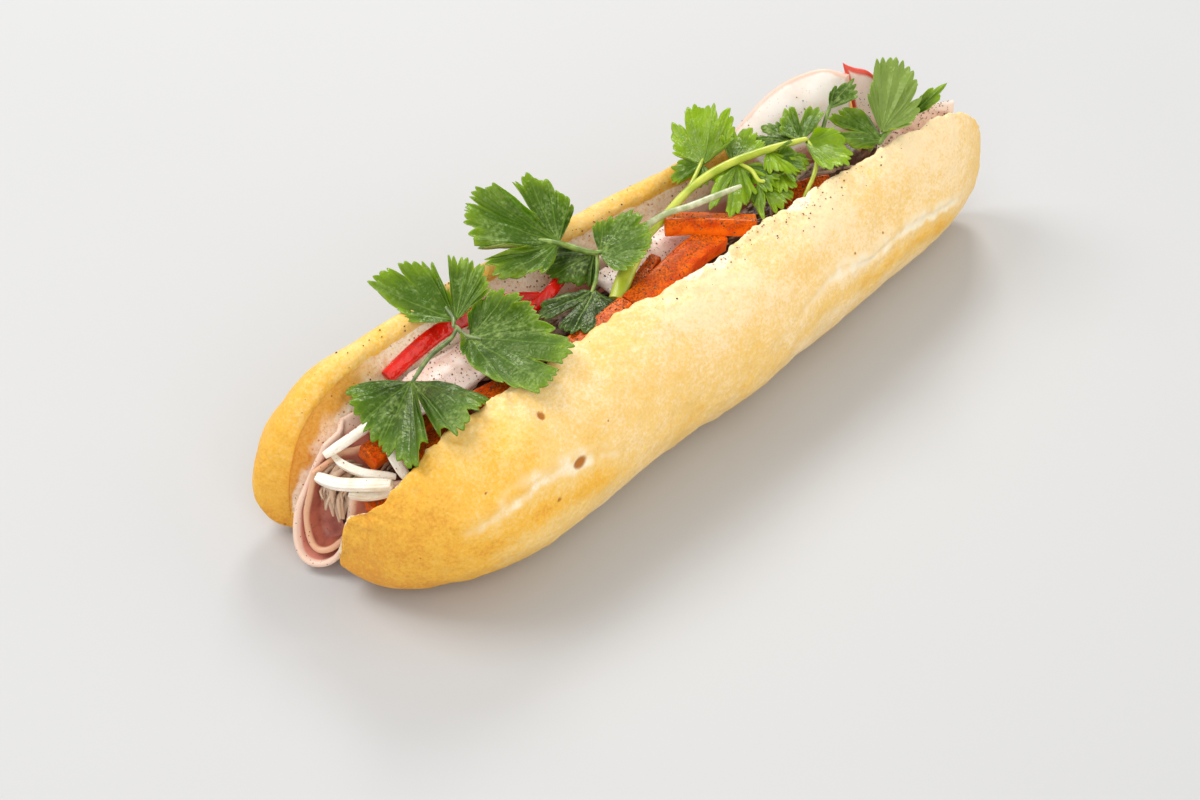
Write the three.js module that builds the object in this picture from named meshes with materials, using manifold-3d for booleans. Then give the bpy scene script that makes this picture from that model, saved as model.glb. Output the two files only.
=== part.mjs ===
// Banh mi: a crusty split roll that stands on its hinge, with ham, cold cuts, shredded pork,
// carrot and daikon sticks, chilli strips and coriander sprigs between its two halves.
// Millimetres, +Z up. X runs along the roll, -Y is the side of the tall front half, and the
// origin is the middle of the foot that the roll rests on.

import * as THREE from "three";
import { mergeVertices } from "three/addons/utils/BufferGeometryUtils.js";
import Module from "manifold-3d";

const wasm = await Module();
wasm.setup();

// ---------------------------------------------------------------- driving sizes, in millimetres
const GAP = 0.35; // free space kept between two pieces that lie on each other
const HINGE_THICKNESS = 7; // crumb left under the cut
const HAM_THICKNESS = 2.0;
const HAM_FOLD = 4.2; // least distance between the two sides of a folded slice
const CUT_THICKNESS = 2.6; // a slice of cold cut
const LEAF_THICKNESS = 0.7;
const FOOT_MIDDLE = [-0.95, 7.4]; // x and y of the footprint's middle, in the stations' frame

// ---------------------------------------------------------------- helpers: numbers
const { sin, cos, abs, min, max, sqrt, sign, PI } = Math;
const clamp = (v, low, high) => min(high, max(low, v));
const mix = (a, b, t) => a + (b - a) * t;
const smooth = (t) => {
  const s = clamp(t, 0, 1);
  return s * s * (3 - 2 * s);
};
const rad = (degrees) => (degrees * PI) / 180;
const steps = (count) => Array.from({ length: count + 1 }, (_, i) => i / count);
// Height of a rounded end: 1 in the middle and 0 at u = +-1.
const endRound = (u, power, root) => max(0, 1 - abs(u) ** power) ** (1 / root);
// A slow, seedless unevenness between about -1 and 1.
function waver(a, b = 0) {
  const slow = 0.5 * sin(0.041 * a + 1.3 * b) + 0.3 * sin(0.093 * a - 0.7 * b + 1.1);
  return slow + 0.2 * sin(0.21 * a + 2.1 * b + 0.4);
}

// ---------------------------------------------------------------- helpers: solids
function geometryOf(points, faces) {
  const g = new THREE.BufferGeometry();
  const flat = points.flatMap((p) => [p.x, p.y, p.z]);
  g.setAttribute("position", new THREE.Float32BufferAttribute(flat, 3));
  g.setIndex(faces.flat());
  return g;
}

function toSolid(geometry) {
  const bare = geometry.clone();
  bare.deleteAttribute("normal");
  bare.deleteAttribute("uv");
  const merged = mergeVertices(bare, 1e-4);
  const mesh = new wasm.Mesh({
    numProp: 3,
    vertProperties: new Float32Array(merged.attributes.position.array),
    triVerts: new Uint32Array(merged.index.array),
  });
  const solid = new wasm.Manifold(mesh);
  if (solid.volume() > 0) return solid;
  for (let i = 0; i < mesh.triVerts.length; i += 3)
    [mesh.triVerts[i + 1], mesh.triVerts[i + 2]] = [mesh.triVerts[i + 2], mesh.triVerts[i + 1]];
  return new wasm.Manifold(mesh);
}

function toGeometry(solid) {
  const m = solid.getMesh();
  const points = [];
  for (let i = 0; i < m.numVert; i++) {
    const [x, y, z] = m.vertProperties.subarray(i * m.numProp, i * m.numProp + 3);
    points.push(new THREE.Vector3(x, y, z));
  }
  return geometryOf(points, [Array.from(m.triVerts)]);
}

const joined = (solids) => solids.reduce((a, b) => a.add(b));
const largest = (solid) =>
  solid.decompose().reduce((a, b) => (b.volume() > a.volume() ? b : a));

// A closed solid from closed rings of equal length, with a fan over each end ring.
function loft(rings) {
  const n = rings[0].length;
  const points = rings.flat();
  const faces = [];
  for (let i = 0; i + 1 < rings.length; i++)
    for (let j = 0; j < n; j++) {
      const a = i * n + j;
      const b = i * n + ((j + 1) % n);
      faces.push([a, b, b + n], [a, b + n, a + n]);
    }
  for (const [ring, turn] of [[0, false], [rings.length - 1, true]]) {
    const centre = new THREE.Vector3();
    rings[ring].forEach((p) => centre.add(p));
    const c = points.push(centre.divideScalar(n)) - 1;
    for (let j = 0; j < n; j++) {
      const a = ring * n + j;
      const b = ring * n + ((j + 1) % n);
      faces.push(turn ? [a, b, c] : [b, a, c]);
    }
  }
  return toSolid(geometryOf(points, faces));
}

// A sheet of even thickness about the surface point(u, v), with u and v from 0 to 1.
// grow widens it all round.
function sheet(nu, nv, point, thickness, grow = 0) {
  const d = 1e-3;
  const points = [];
  const at = (u, v) => point(clamp(u, 0, 1), clamp(v, 0, 1));
  for (const side of [1, -1])
    for (const u of steps(nu))
      for (const v of steps(nv)) {
        const du = at(u + d, v).sub(at(u - d, v)).normalize();
        const dv = at(u, v + d).sub(at(u, v - d)).normalize();
        const p = at(u, v);
        if (u === 0 || u === 1) p.addScaledVector(du, (2 * u - 1) * grow);
        if (v === 0 || v === 1) p.addScaledVector(dv, (2 * v - 1) * grow);
        const normal = du.cross(dv).normalize();
        points.push(p.addScaledVector(normal, side * (thickness / 2 + grow)));
      }
  const row = nv + 1;
  const low = (nu + 1) * row;
  const faces = [];
  for (let i = 0; i < nu; i++)
    for (let j = 0; j < nv; j++) {
      const a = i * row + j;
      for (const [p, q, r] of [[a, a + row, a + row + 1], [a, a + row + 1, a + 1]])
        faces.push([p, q, r], [low + r, low + q, low + p]);
    }
  const edge = [
    ...steps(nu).slice(0, -1).map((_, i) => i * row),
    ...steps(nv).slice(0, -1).map((_, j) => nu * row + j),
    ...steps(nu).slice(0, -1).map((_, i) => (nu - i) * row + nv),
    ...steps(nv).slice(0, -1).map((_, j) => nv - j),
  ];
  edge.forEach((a, k) => {
    const b = edge[(k + 1) % edge.length];
    faces.push([b, a, low + a], [b, low + a, low + b]);
  });
  return toSolid(geometryOf(points, faces));
}

// A stick along a smooth curve through stations [x, y, z], of a rounded oblong section.
// flat turns the section about the curve, in degrees from level.
const STICK = { sides: 6, count: 6, flat: 0, taper: 0 };

function stick(stations, width, height, options = {}, grow = 0) {
  const { sides, count, flat, taper } = { ...STICK, ...options };
  const curve = new THREE.CatmullRomCurve3(stations.map((s) => new THREE.Vector3(...s)));
  const up = new THREE.Vector3(0, 0, 1);
  const rings = steps(count).map((t) => {
    const ahead = curve.getTangentAt(t);
    const beyond = t === 0 ? -grow : t === 1 ? grow : 0;
    const centre = curve.getPointAt(t).addScaledVector(ahead, beyond);
    const across = new THREE.Vector3().crossVectors(up, ahead).normalize();
    across.applyAxisAngle(ahead, rad(flat));
    const rise = new THREE.Vector3().crossVectors(ahead, across).normalize();
    const share = 1 - taper * abs(2 * t - 1) ** 4;
    return steps(sides).slice(0, -1).map((k) => {
      const angle = 2 * PI * (k + 0.5 / sides);
      const reach = 0.5 / cos(PI / sides); // so that the flats, not the corners, are the width apart
      return centre
        .clone()
        .addScaledVector(across, (share * width + 2 * grow) * reach * cos(angle))
        .addScaledVector(rise, (share * height + 2 * grow) * reach * sin(angle));
    });
  });
  return loft(rings);
}

// ---------------------------------------------------------------- the roll
// A smooth curve through a few stations [x, value].
function along(...stations) {
  const tangent = (i) => {
    const a = stations[max(0, i - 1)];
    const b = stations[min(stations.length - 1, i + 1)];
    return (b[1] - a[1]) / (b[0] - a[0]);
  };
  return (x) => {
    const last = stations.length - 2;
    const i = clamp(stations.findIndex((s) => x < s[0]) - 1, 0, last);
    const k = x >= stations[last + 1][0] ? last : i;
    const [a, b] = [stations[k], stations[k + 1]];
    const h = b[0] - a[0];
    const t = clamp((x - a[0]) / h, 0, 1);
    const s = smooth(t);
    return mix(a[1], b[1], s) + h * t * (1 - t) * ((1 - t) * tangent(k) - t * tangent(k + 1));
  };
}

// Share of full size near a blunt tip: 1 from length inwards, 0 at the tip.
const blunt = (inset, length, power, root) => endRound(clamp(1 - inset / length, 0, 1), power, root);

// Each half is a D: a crust that bulges outwards, rolls over at the top by its lip (how far in, how
// far down), and a cut face from the rim to the hinge. side is -1 in front and 1 behind.
const FRONT = {
  side: -1,
  ends: [-142, 142],
  tipLengths: [54, 36],
  centreY: () => -8,
  outerY: along(
    [-142, -40], [-100, -41], [-60, -39], [-25, -36.5], [10, -37.5], [45, -34.5], [80, -30], [142, -24],
  ),
  rimY: along(
    [-142, 4], [-136, -8.5], [-100, -11], [-40, -11.5], [0, -16], [35, -13.5], [90, -14], [142, -15],
  ),
  rimZ: along([-142, 56.5], [-76, 57.5], [0, 58.5], [60, 56.5], [142, 53.5]),
  hingeY: along([-142, 6.5], [-100, 8], [60, 7], [110, 2], [142, -12]),
  lip: [1.2, 0.5],
  footLift: 12,
  tipRim: 0.36,
  lean: 0,
  bluntness: [2.2, 1.8],
};
const BACK = {
  side: 1,
  ends: [-135, 137],
  tipLengths: [36, 34],
  centreY: along([-135, 37], [-110, 18], [-60, 13], [137, 8]),
  outerY: along([-135, 55.5], [-110, 55], [-60, 53], [0, 45], [44, 41], [110, 33], [137, 30]),
  rimY: along([-135, 37], [-100, 35.3], [-60, 36], [-10, 33], [44, 28], [100, 22], [137, 15]),
  rimZ: along([-135, 52.5], [-80, 51.8], [-40, 51], [-5, 49.6], [44, 48.2], [100, 43], [137, 40.5]),
  hingeY: along([-135, 37], [-127, 20], [-118, 5], [-90, 3.5], [90, 3.5], [120, 8], [137, 16]),
  lip: [5, 3.5],
  footLift: 3,
  tipRim: 0.14,
  lean: 0.78,
  bluntness: [4, 4],
};

// The heights of a half at x, and the share k of its full bulge there.
function profileAt(half, x) {
  const [start, end] = half.ends;
  const [startTip, endTip] = half.tipLengths;
  const insets = [[x - start, startTip], [end - x, endTip]];
  const share = (power, root) => insets.reduce((p, [d, l]) => p * blunt(d, l, power, root), 1);
  return {
    k: share(...half.bluntness),
    tip: blunt(x - start, startTip, 2, 2),
    foot: half.footLift * (1 - share(2.4, 2)),
    rim: half.rimZ(x) * mix(half.tipRim, 1, share(2.5, 2.8)),
  };
}

// The y of the cut face at x and height z.
function cutFaceY(half, x, z) {
  const { rim, foot } = profileAt(half, x);
  const t = clamp((z - foot - HINGE_THICKNESS) / max(1, rim - foot - HINGE_THICKNESS), 0, 1);
  return mix(half.hingeY(x), half.rimY(x), t ** 0.85);
}

function halfSection(half, x, crustCount, faceCount) {
  const { k, tip, foot, rim } = profileAt(half, x);
  const height = max(0.5, rim - foot);
  const rimY = half.rimY(x);
  const hinge = half.hingeY(x);
  const [over, drop] = half.lip.map((v) => v * max(0.05, k));
  const base = mix((rimY + hinge) / 2, half.centreY(x), k);
  const bulge = max(0.6, abs(half.outerY(x) - half.centreY(x)) * k);
  const centreZ = foot + 0.49 * height;
  const topAngle = Math.acos(clamp((half.side * (rimY - base) + over) / bulge, 0.05, 0.8));
  const crust = steps(crustCount).map((t) => {
    const a = mix(-PI / 2, topAngle, t);
    const rough = 1 + 0.018 * waver(x, 3 * a + half.side) * sin(PI * t);
    const reach = a < 0 ? centreZ - foot : (rim + drop - centreZ) / sin(topAngle);
    return [base + half.side * bulge * cos(a) * rough, centreZ + reach * sin(a)];
  });
  // The top of the crust, and a quarter of an ellipse from there over to the rim.
  crust[crustCount] = [rimY + half.side * over, rim + drop];
  const lip = [PI / 4, PI / 2].map((a) => [rimY + half.side * over * (1 - sin(a)), rim + drop * cos(a)]);
  const low = min(foot + HINGE_THICKNESS, foot + 0.5 * height);
  const face = steps(faceCount).slice(1).map((t) => {
    const z = mix(rim, low, t);
    return [cutFaceY(half, x, z), z];
  });
  // The crust of a wide tip reaches further out than the edge of its cut face.
  const reachOut = (y) => half.lean * (1 - tip) * max(0, y - rimY);
  const outline = [...crust, ...lip, ...face, [hinge, foot]];
  return outline.map(([y, z]) => new THREE.Vector3(x - reachOut(y), y, z));
}

function halfRoll(half, stations = 24, crustCount = 9, faceCount = 3) {
  const [start, end] = half.ends;
  const rings = steps(stations).map((t) => {
    const u = 0.9 * sin(PI * (t - 0.5)) + 0.1 * (2 * t - 1);
    return halfSection(half, mix(start, end, (u + 1) / 2), crustCount, faceCount);
  });
  return loft(rings);
}

const bread = () => halfRoll(FRONT).add(halfRoll(BACK));

// ---------------------------------------------------------------- ham that lines the pocket
// A U that follows both cut faces: v runs from its front edge down, across and up the back.
function liner({ from, to, inset, frontTop, backTop, floor }, nu, nv) {
  const point = (u, v) => {
    const x = mix(from(v), to, u);
    const bottom = floor(x);
    const top = v < 0.5 ? frontTop(x) : backTop(x);
    const z = bottom + (top - bottom) * (2 * v - 1) ** 2;
    const front = max(cutFaceY(FRONT, x, z + 2) + inset, 7 + 0.9 * inset - 0.9 * max(0, x + 128));
    const endBack = 31.5 - 0.9 * inset - 0.16 * max(0, z - 18) + 0.9 * max(0, x + 122);
    const back = min(cutFaceY(BACK, x, z) - 1.25 * inset, endBack);
    const side = 0.5 - 0.5 * cos(PI * v);
    const s = clamp(mix(v, side, 0.55), 0, 1);
    const share = v < 0.5 ? 0.5 * (2 * s) ** 1.5 : 1 - 0.5 * (2 - 2 * s) ** 1.5;
    const y = (front + back) / 2 + max(HAM_FOLD, back - front) * (share - 0.5);
    return new THREE.Vector3(x, y, z + 0.4 * waver(3 * x, 5 * v));
  };
  return (grow) => sheet(nu, nv, point, HAM_THICKNESS, grow);
}

const OUTER_HAM = {
  inset: 2.2,
  from: along([0, -134], [0.3, -138], [0.5, -143], [0.68, -143.5], [0.85, -139], [1, -129]),
  to: 118,
  frontTop: along([-145, 33], [-125, 34], [-100, 37], [118, 38]),
  backTop: along([-145, 36], [-132, 39.5], [-112, 43], [118, 42]),
  floor: along([-145, 3.5], [-134, 4], [-122, 9.5], [-110, 12.5], [118, 12.5]),
};
const INNER_HAM = {
  inset: 5.6,
  from: along([0, -131], [0.25, -135], [0.5, -140], [0.75, -139.5], [1, -136]),
  to: 70,
  frontTop: along([-145, 20], [-125, 24], [-100, 30], [70, 32]),
  backTop: along([-145, 33], [-125, 36], [-100, 36], [70, 36]),
  floor: along([-145, 7.5], [-134, 8], [-122, 13.5], [-110, 16.5], [70, 16.5]),
};

// ---------------------------------------------------------------- slices of cold cut
// A slice between a low edge and a high edge, each a smooth curve through stations.
function slice(low, high, bow, thickness = CUT_THICKNESS, nu = 10, nv = 5) {
  const curveOf = (stations) => new THREE.CatmullRomCurve3(stations.map((p) => new THREE.Vector3(...p)));
  const curves = [low, high].map(curveOf);
  const point = (u, v) => {
    const p = curves[0].getPoint(u).lerp(curves[1].getPoint(u), v);
    p.z += bow * sin(PI * v) + 0.5 * sin(9 * u + 3 * v);
    return p;
  };
  return (grow) => sheet(nu, nv, point, thickness, grow);
}

// ---------------------------------------------------------------- shredded pork
// A loose core that fills the pocket, with shreds standing out of it where it shows.
function shreddedPork(grow) {
  const top = along(
    [-132, 22], [-122, 30], [-105, 35], [-88, 40], [-40, 41], [60, 41], [100, 42], [122, 38],
  );
  const rings = steps(13).map((t) => {
    const x = mix(-130, 120, 0.5 - 0.5 * cos(PI * t) * 0.4 + 0.6 * (t - 0.5));
    const low = INNER_HAM.floor(x) + 2.4;
    return steps(10).slice(0, -1).map((k) => {
      const a = 2 * PI * k;
      const z = mix(low, top(x) + 1.2 * waver(7 * x, 9 * k), 0.5 - 0.5 * cos(a));
      const front = max(cutFaceY(FRONT, x, z + 2) + 9.2, 13.6 - 0.9 * max(0, x + 128));
      const back = max(front + 2, min(cutFaceY(BACK, x, z) - 10.4, 21.5 + 0.9 * max(0, x + 122)));
      const side = sign(sin(a)) * abs(sin(a)) ** 0.6;
      return new THREE.Vector3(x, mix(front, back, 0.5 + 0.5 * side), z);
    });
  });
  // Shreds that come out of the end of the core and hang down over it.
  const shreds = steps(6).map((t) => {
    const turn = 2.399 * 6 * t;
    const y = mix(21.5, 13.5, t) + 0.8 * cos(turn);
    const z = mix(33, 28, t) + 1.6 * sin(turn);
    const out = -134.5 - 2 * sin(1.7 * turn);
    const stations = [[-122, y, z - 3], [-130, y, z], [out, y - 1, z - 1], [out, y - 3.4, z - 5.5]];
    return stick(stations, 2.4, 1.7, { sides: 4, count: 4, flat: 30 * sin(turn) }, grow);
  });
  return joined([loft(rings), ...shreds]);
}

// ---------------------------------------------------------------- coriander
// A leaf that fans out from its foot. Each lobe lists the tips of its points, [x, y, z], and the
// narrow clefts between two lobes are deeper than the dips inside one. The flanks are the degrees
// that the blade goes on past its first and its last tip.
function leaf({ at, lobes, phase = 0, flanks = [25, 25] }, grow) {
  const foot = new THREE.Vector3(...at);
  const spokes = lobes.flatMap((tips, lobe) =>
    tips.map((tip) => ({ lobe, v: new THREE.Vector3(...tip).sub(foot) })),
  );
  const face = new THREE.Vector3();
  const axis = new THREE.Vector3();
  spokes.forEach(({ v }, i) => {
    axis.add(v);
    if (i) face.add(new THREE.Vector3().crossVectors(spokes[i - 1].v, v));
  });
  face.normalize();
  axis.projectOnPlane(face).normalize();
  const across = new THREE.Vector3().crossVectors(face, axis);
  for (const spoke of spokes) {
    spoke.angle = Math.atan2(spoke.v.dot(across), spoke.v.dot(axis));
    spoke.length = sqrt(spoke.v.dot(axis) ** 2 + spoke.v.dot(across) ** 2);
    spoke.lift = spoke.v.dot(face);
  }
  const size = max(...spokes.map((spoke) => spoke.length));
  // Rays round the leaf: the flank of the first tip, the tips with their clefts, the last flank.
  const rays = [];
  const flank = (spoke, turn) =>
    [1, 0.5].map((m) => ({
      angle: spoke.angle + rad(turn) * m,
      reach: spoke.length * (1 - 0.72 * m ** 2.4),
      lift: spoke.lift * (1 - 0.6 * m),
    }));
  rays.push(...flank(spokes[0], -flanks[0]));
  spokes.forEach((spoke, i) => {
    rays.push({ angle: spoke.angle, reach: spoke.length, lift: spoke.lift });
    const next = spokes[i + 1];
    if (!next) return;
    const [depth, power] = next.lobe === spoke.lobe ? [0.08, 2] : [0.45, 6];
    const turns = size > 27 ? 5 : size > 20 ? 4 : 3;
    for (const m of steps(turns).slice(1, -1)) {
      const cleft = depth * (1 - abs(2 * m - 1)) ** power;
      const tooth = m < 0.3 || m > 0.7 ? 0.92 : 1.02;
      rays.push({
        angle: mix(spoke.angle, next.angle, m),
        reach: mix(spoke.length, next.length, m) * (1 - cleft) * tooth,
        lift: mix(spoke.lift, next.lift, m) + 0.05 * size * sin(PI * m),
      });
    }
  });
  rays.push(...flank(spokes.at(-1), flanks[1]).reverse());
  const shares = size < 18 ? [1] : [0.5, 1];
  const half = LEAF_THICKNESS / 2 + grow;
  const side = (sign) => [
    foot.clone().addScaledVector(axis, -0.6 - grow).addScaledVector(face, sign * half),
    ...rays.flatMap(({ angle, reach, lift }) =>
      shares.map((share) => {
        const r = share * (reach + grow);
        const rise = lift * share ** 1.15 + 0.05 * size * share * share * sin(3 * angle + phase);
        return foot
          .clone()
          .addScaledVector(axis, r * cos(angle))
          .addScaledVector(across, r * sin(angle))
          .addScaledVector(face, rise + sign * half);
      }),
    ),
  ];
  const points = [...side(1), ...side(-1)];
  const low = points.length / 2;
  const rows = shares.length;
  const last = rays.length - 1;
  const faces = [];
  const both = (a, b, c) => faces.push([a, b, c], [low + c, low + b, low + a]);
  for (let i = 0; i < last; i++) {
    const a = 1 + i * rows;
    both(0, a, a + rows);
    for (let j = a; j + 1 < a + rows; j++) {
      both(j, j + 1, j + rows + 1);
      both(j, j + rows + 1, j + rows);
    }
  }
  const inner = rows > 1 ? [1] : [];
  const innerEnd = rows > 1 ? [last * rows + 1] : [];
  const edge = [0, ...inner, ...rays.map((_, i) => (i + 1) * rows), ...innerEnd];
  edge.forEach((a, k) => {
    const b = edge[(k + 1) % edge.length];
    faces.push([b, a, low + a], [b, low + a, low + b]);
  });
  return toSolid(geometryOf(points, faces));
}

const sprig = (leaves, stalks) => (grow) =>
  joined([
    ...leaves.map((spec) => leaf(spec, grow)),
    ...stalks.map(([stations, width, height]) =>
      stick(stations, width, height ?? width, { sides: 4, count: 2 * stations.length - 2 }, grow),
    ),
  ]);

// ---------------------------------------------------------------- the pieces
// Listed from the piece that keeps its whole form to the one that gives way most: each is cut
// back by GAP where it would touch a piece above it in the list.
const baton = (options, stations, width, height) => (grow) =>
  stick(stations, width, height, options, grow);
const chilli = (count, flat, ...shape) => baton({ count, sides: 5, flat, taper: 0.2 }, ...shape);
const daikon = (...shape) => baton({ count: 6, sides: 4 }, ...shape);
const carrot = (flat, ...shape) => baton({ count: 5, sides: 4, flat }, ...shape);

const LEFT_SPRIG = sprig(
  [
    {
      at: [-99, 17, 52],
      lobes: [
        [[-113, 31, 53], [-120, 18, 50], [-124, 6, 50], [-127, -14, 56]],
        [[-114, -18, 60.5], [-97, -12, 60]],
      ],
    },
    {
      at: [-69, 28, 53.5],
      lobes: [
        [[-80, 41, 56], [-82, 54, 61], [-62, 47, 63]],
        [[-53, 39, 62], [-55, 28, 58]],
      ],
      phase: 1,
      flanks: [25, 20],
    },
    {
      at: [-73, 17, 54.5],
      lobes: [
        [[-56, 17, 57], [-60, -1, 61], [-63, -19, 64]],
        [[-80, -24, 62], [-87, -11, 60], [-83, 7, 55]],
      ],
      phase: 2,
      flanks: [40, 15],
    },
  ],
  [
    [[[-72, 24, 54], [-77, 22, 53.5], [-87, 21, 53], [-99, 17, 52]], 1.5],
    [[[-73, 25, 54], [-70, 28, 54], [-68, 34, 54.8]], 1.5],
    [[[-72, 25, 54], [-73.5, 19, 54.4], [-72.5, 13, 55.6]], 1.5],
  ],
);
const MIDDLE_SPRIG = sprig(
  [
    {
      at: [-24, 27, 59],
      lobes: [
        [[-40, 23, 58], [-49, 31, 59]],
        [[-42, 51, 66], [-29, 55, 69]],
        [[-17, 47, 70], [-14, 32, 67]],
      ],
      phase: 1,
    },
    {
      at: [-17, 14, 57.5],
      lobes: [[[-7, 22, 60], [2, 18, 63], [-1, 7, 61], [-15, 1, 57]]],
      phase: 3,
      flanks: [25, 40],
    },
    { at: [-18, 17, 56], lobes: [[[-26, 34, 52], [-31, 24, 50.5], [-25, 13, 50]]] },
    {
      at: [-27, 8, 51],
      lobes: [
        [[-31, 14, 52], [-48, 13, 51.5]],
        [[-48, -2, 52], [-27, -3, 50.5]],
      ],
      phase: 2,
    },
  ],
  [
    [[[-15.5, 14, 57], [-19, 17, 57.3], [-24, 26, 58.8], [-30, 34, 60.5]], 1.9],
    [[[-17, 16, 57], [-20, 13, 54.5], [-24, 10, 52], [-28, 8, 51]], 1.3],
  ],
);
const RIGHT_SPRIG = sprig(
  [
    {
      at: [40, 22, 58],
      lobes: [
        [[39, 34, 59], [46, 41, 61]],
        [[53, 40.5, 64], [59, 34.5, 66]],
        [[60, 28, 65], [53, 20.5, 62]],
      ],
    },
    { at: [46, 14, 59.5], lobes: [[[54, 24, 61], [62, 20, 62], [60, 13, 60.5]]], phase: 2 },
    {
      at: [46, 12, 59.4],
      lobes: [[[34, 11, 59.5], [23, 3.5, 59.3]], [[24.5, -4, 59], [38.5, 0, 58.2]], [[50, 4, 57.8]]],
      phase: 1,
    },
    { at: [57, 8, 60.5], lobes: [[[50, 1, 58.8], [57, -5, 57.8]], [[66, -3, 58.8]]], phase: 4 },
    { at: [68, 4, 61.5], lobes: [[[68, 13, 61], [75, 17, 62]], [[83, 10, 64]]], phase: 5 },
    { at: [69, 2, 61], lobes: [[[79, -4, 62], [75, -13, 60], [64, -14, 59]]], phase: 3 },
    {
      at: [46, 2, 57.5],
      lobes: [[[40, -1, 55], [35, -9.5, 54]], [[41.5, -9.5, 54], [52, -7.5, 55]]],
      phase: 2,
    },
    { at: [53, -0.5, 57.5], lobes: [[[46.5, 1, 56.6], [47, -5.5, 56], [53.5, -7, 56.5]]], phase: 1 },
  ],
  [
    [
      [
        [-8, 8.4, 53], [0, 11, 54.6], [13, 13, 57],
        [28, 15, 59], [42, 13.5, 60.5], [55, 9, 61.5], [70, 3, 61.5],
      ],
      3,
      2.6,
    ],
    [[[-22.6, 1.8, 48.4], [-16, 5, 51.2], [-8, 8.4, 53], [0, 11, 54.6]], 5.4, 3.2],
    [[[24, 15, 58.4], [31, 18, 58.4], [41, 23, 58.4]], 1.4],
    [[[-5, 10, 54.6], [1, 11.8, 58.2], [8.5, 10.2, 60.6], [17, 6.6, 61.3], [35.5, 1.3, 62]], 2.5, 2.1],
    [[[46, 12.5, 60], [47, 7, 59], [46, 2, 57.6], [53.5, -0.5, 57.4]], 1.4],
    [[[70, 2.5, 61], [67, -4, 59], [62, -7.4, 56.6], [54.5, -9.4, 51.8]], 1.5],
  ],
);
const END_SPRIG = sprig(
  [
    {
      at: [92, -11, 60],
      lobes: [
        [[98.5, -0.5, 68], [105.5, 3.5, 75], [111, -0.5, 75], [111.5, -7.5, 73], [108, -12.5, 70]],
        [[107, -15, 67.5], [100, -18, 63.5]],
      ],
      phase: 1,
      flanks: [12, 20],
    },
    {
      at: [103, -13.5, 61.5],
      lobes: [[[112, -15, 69], [116, -18.5, 71], [112.5, -18.5, 66.5]]],
      phase: 2,
      flanks: [12, 12],
    },
    {
      at: [90, -13, 58],
      lobes: [[[94, -2.5, 62], [89.5, 4.5, 63], [84, 6, 62]], [[79.5, 0.5, 60], [81, -7, 58]]],
      phase: 3,
      flanks: [8, 12],
    },
  ],
  [
    [[[88, -13, 57.6], [92, -12.5, 59], [97, -12.5, 60.5], [105, -13.5, 62]], 1.6],
    [[[91, -7, 50], [91, -9, 55], [92, -12, 59.4]], 1.6],
  ],
);
const BACK_LEAF = sprig(
  [{ at: [85, 6, 65], lobes: [[[91, 8.5, 69], [96.5, 5.5, 71], [93, 1, 68]]], phase: 2, flanks: [15, 20] }],
  [[[[77, 3, 57], [81, 4.6, 62], [87, 6.8, 66]], 1.4]],
);
const LEFT_CHILLI = [
  [-98, 29.5, 46], [-86, 31.5, 46.4], [-72, 32.6, 47], [-57, 31.5, 46.6], [-46, 28, 46.4], [-37, 22, 46],
];
const RIGHT_CHILLI = [[-45, 20, 46.4], [-34, 21, 47], [-24, 24, 47.4], [-14, 27, 47.6]];
const LEFT_CUT = slice(
  [[-112, 10, 42], [-90, 9, 43.5], [-62, 11, 43]],
  [[-108, 27, 41.5], [-84, 28, 43], [-58, 27, 43.5]],
  1.6,
);
const MIDDLE_CUT = slice(
  [[-20, 2, 44], [0, 4.5, 45], [25, 4, 46]],
  [[-18, 18, 44], [2, 20, 46], [26, 17, 47]],
  1.2,
);
const BACK_CUT = slice(
  [[62, 15, 45], [74, 14, 46], [88, 10, 47], [97, 6, 48]],
  [[61, 30, 52], [70, 30, 57], [80, 28.5, 62], [90, 24, 66], [97, 18.5, 68.4], [101, 11.5, 67.5]],
  1.4,
);
const END_CUT = slice(
  [[98, 3.5, 47], [104, 0, 47], [110, -3, 47]],
  [[101.5, 15, 70], [106.5, 8, 67], [111.5, 2, 59]],
  0,
  2.2,
  8,
  6,
);
const END_HAM = slice(
  [[92, -8.5, 44], [110, -9.5, 46], [129, -11.5, 47.5]],
  [[104, -1, 52.5], [118, -5.5, 54], [131, -10.5, 52]],
  -1.2,
  2.2,
  10,
  4,
);

const DAIKON_1 = [[-104, 20, 46.5], [-116, 17, 46.5], [-125, 17, 46], [-134, 20, 42.5]];
const DAIKON_2 = [[-130.5, 19.5, 40.4], [-131, 14.5, 40.2], [-128.5, 8, 39], [-122, 1, 37.6]];
const DAIKON_3 = [[-137.5, 20, 36], [-136, 13, 36.6], [-132.5, 6, 38], [-128, -3.6, 41.5]];
const FRONT_BATON = [[-22, -4.2, 47.5], [-8, -3.6, 49], [8, -1.5, 50], [21, -1.5, 50.5]];
const ACROSS_BATON = [[10.5, 12, 54.5], [17, 5.5, 54.6], [24, -2.5, 54.6], [31, -9.5, 54]];
const END_STICK = [[-119.5, 7.6, 45.6], [-108, 4.6, 46.4], [-96, 3, 46.4]];

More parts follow.
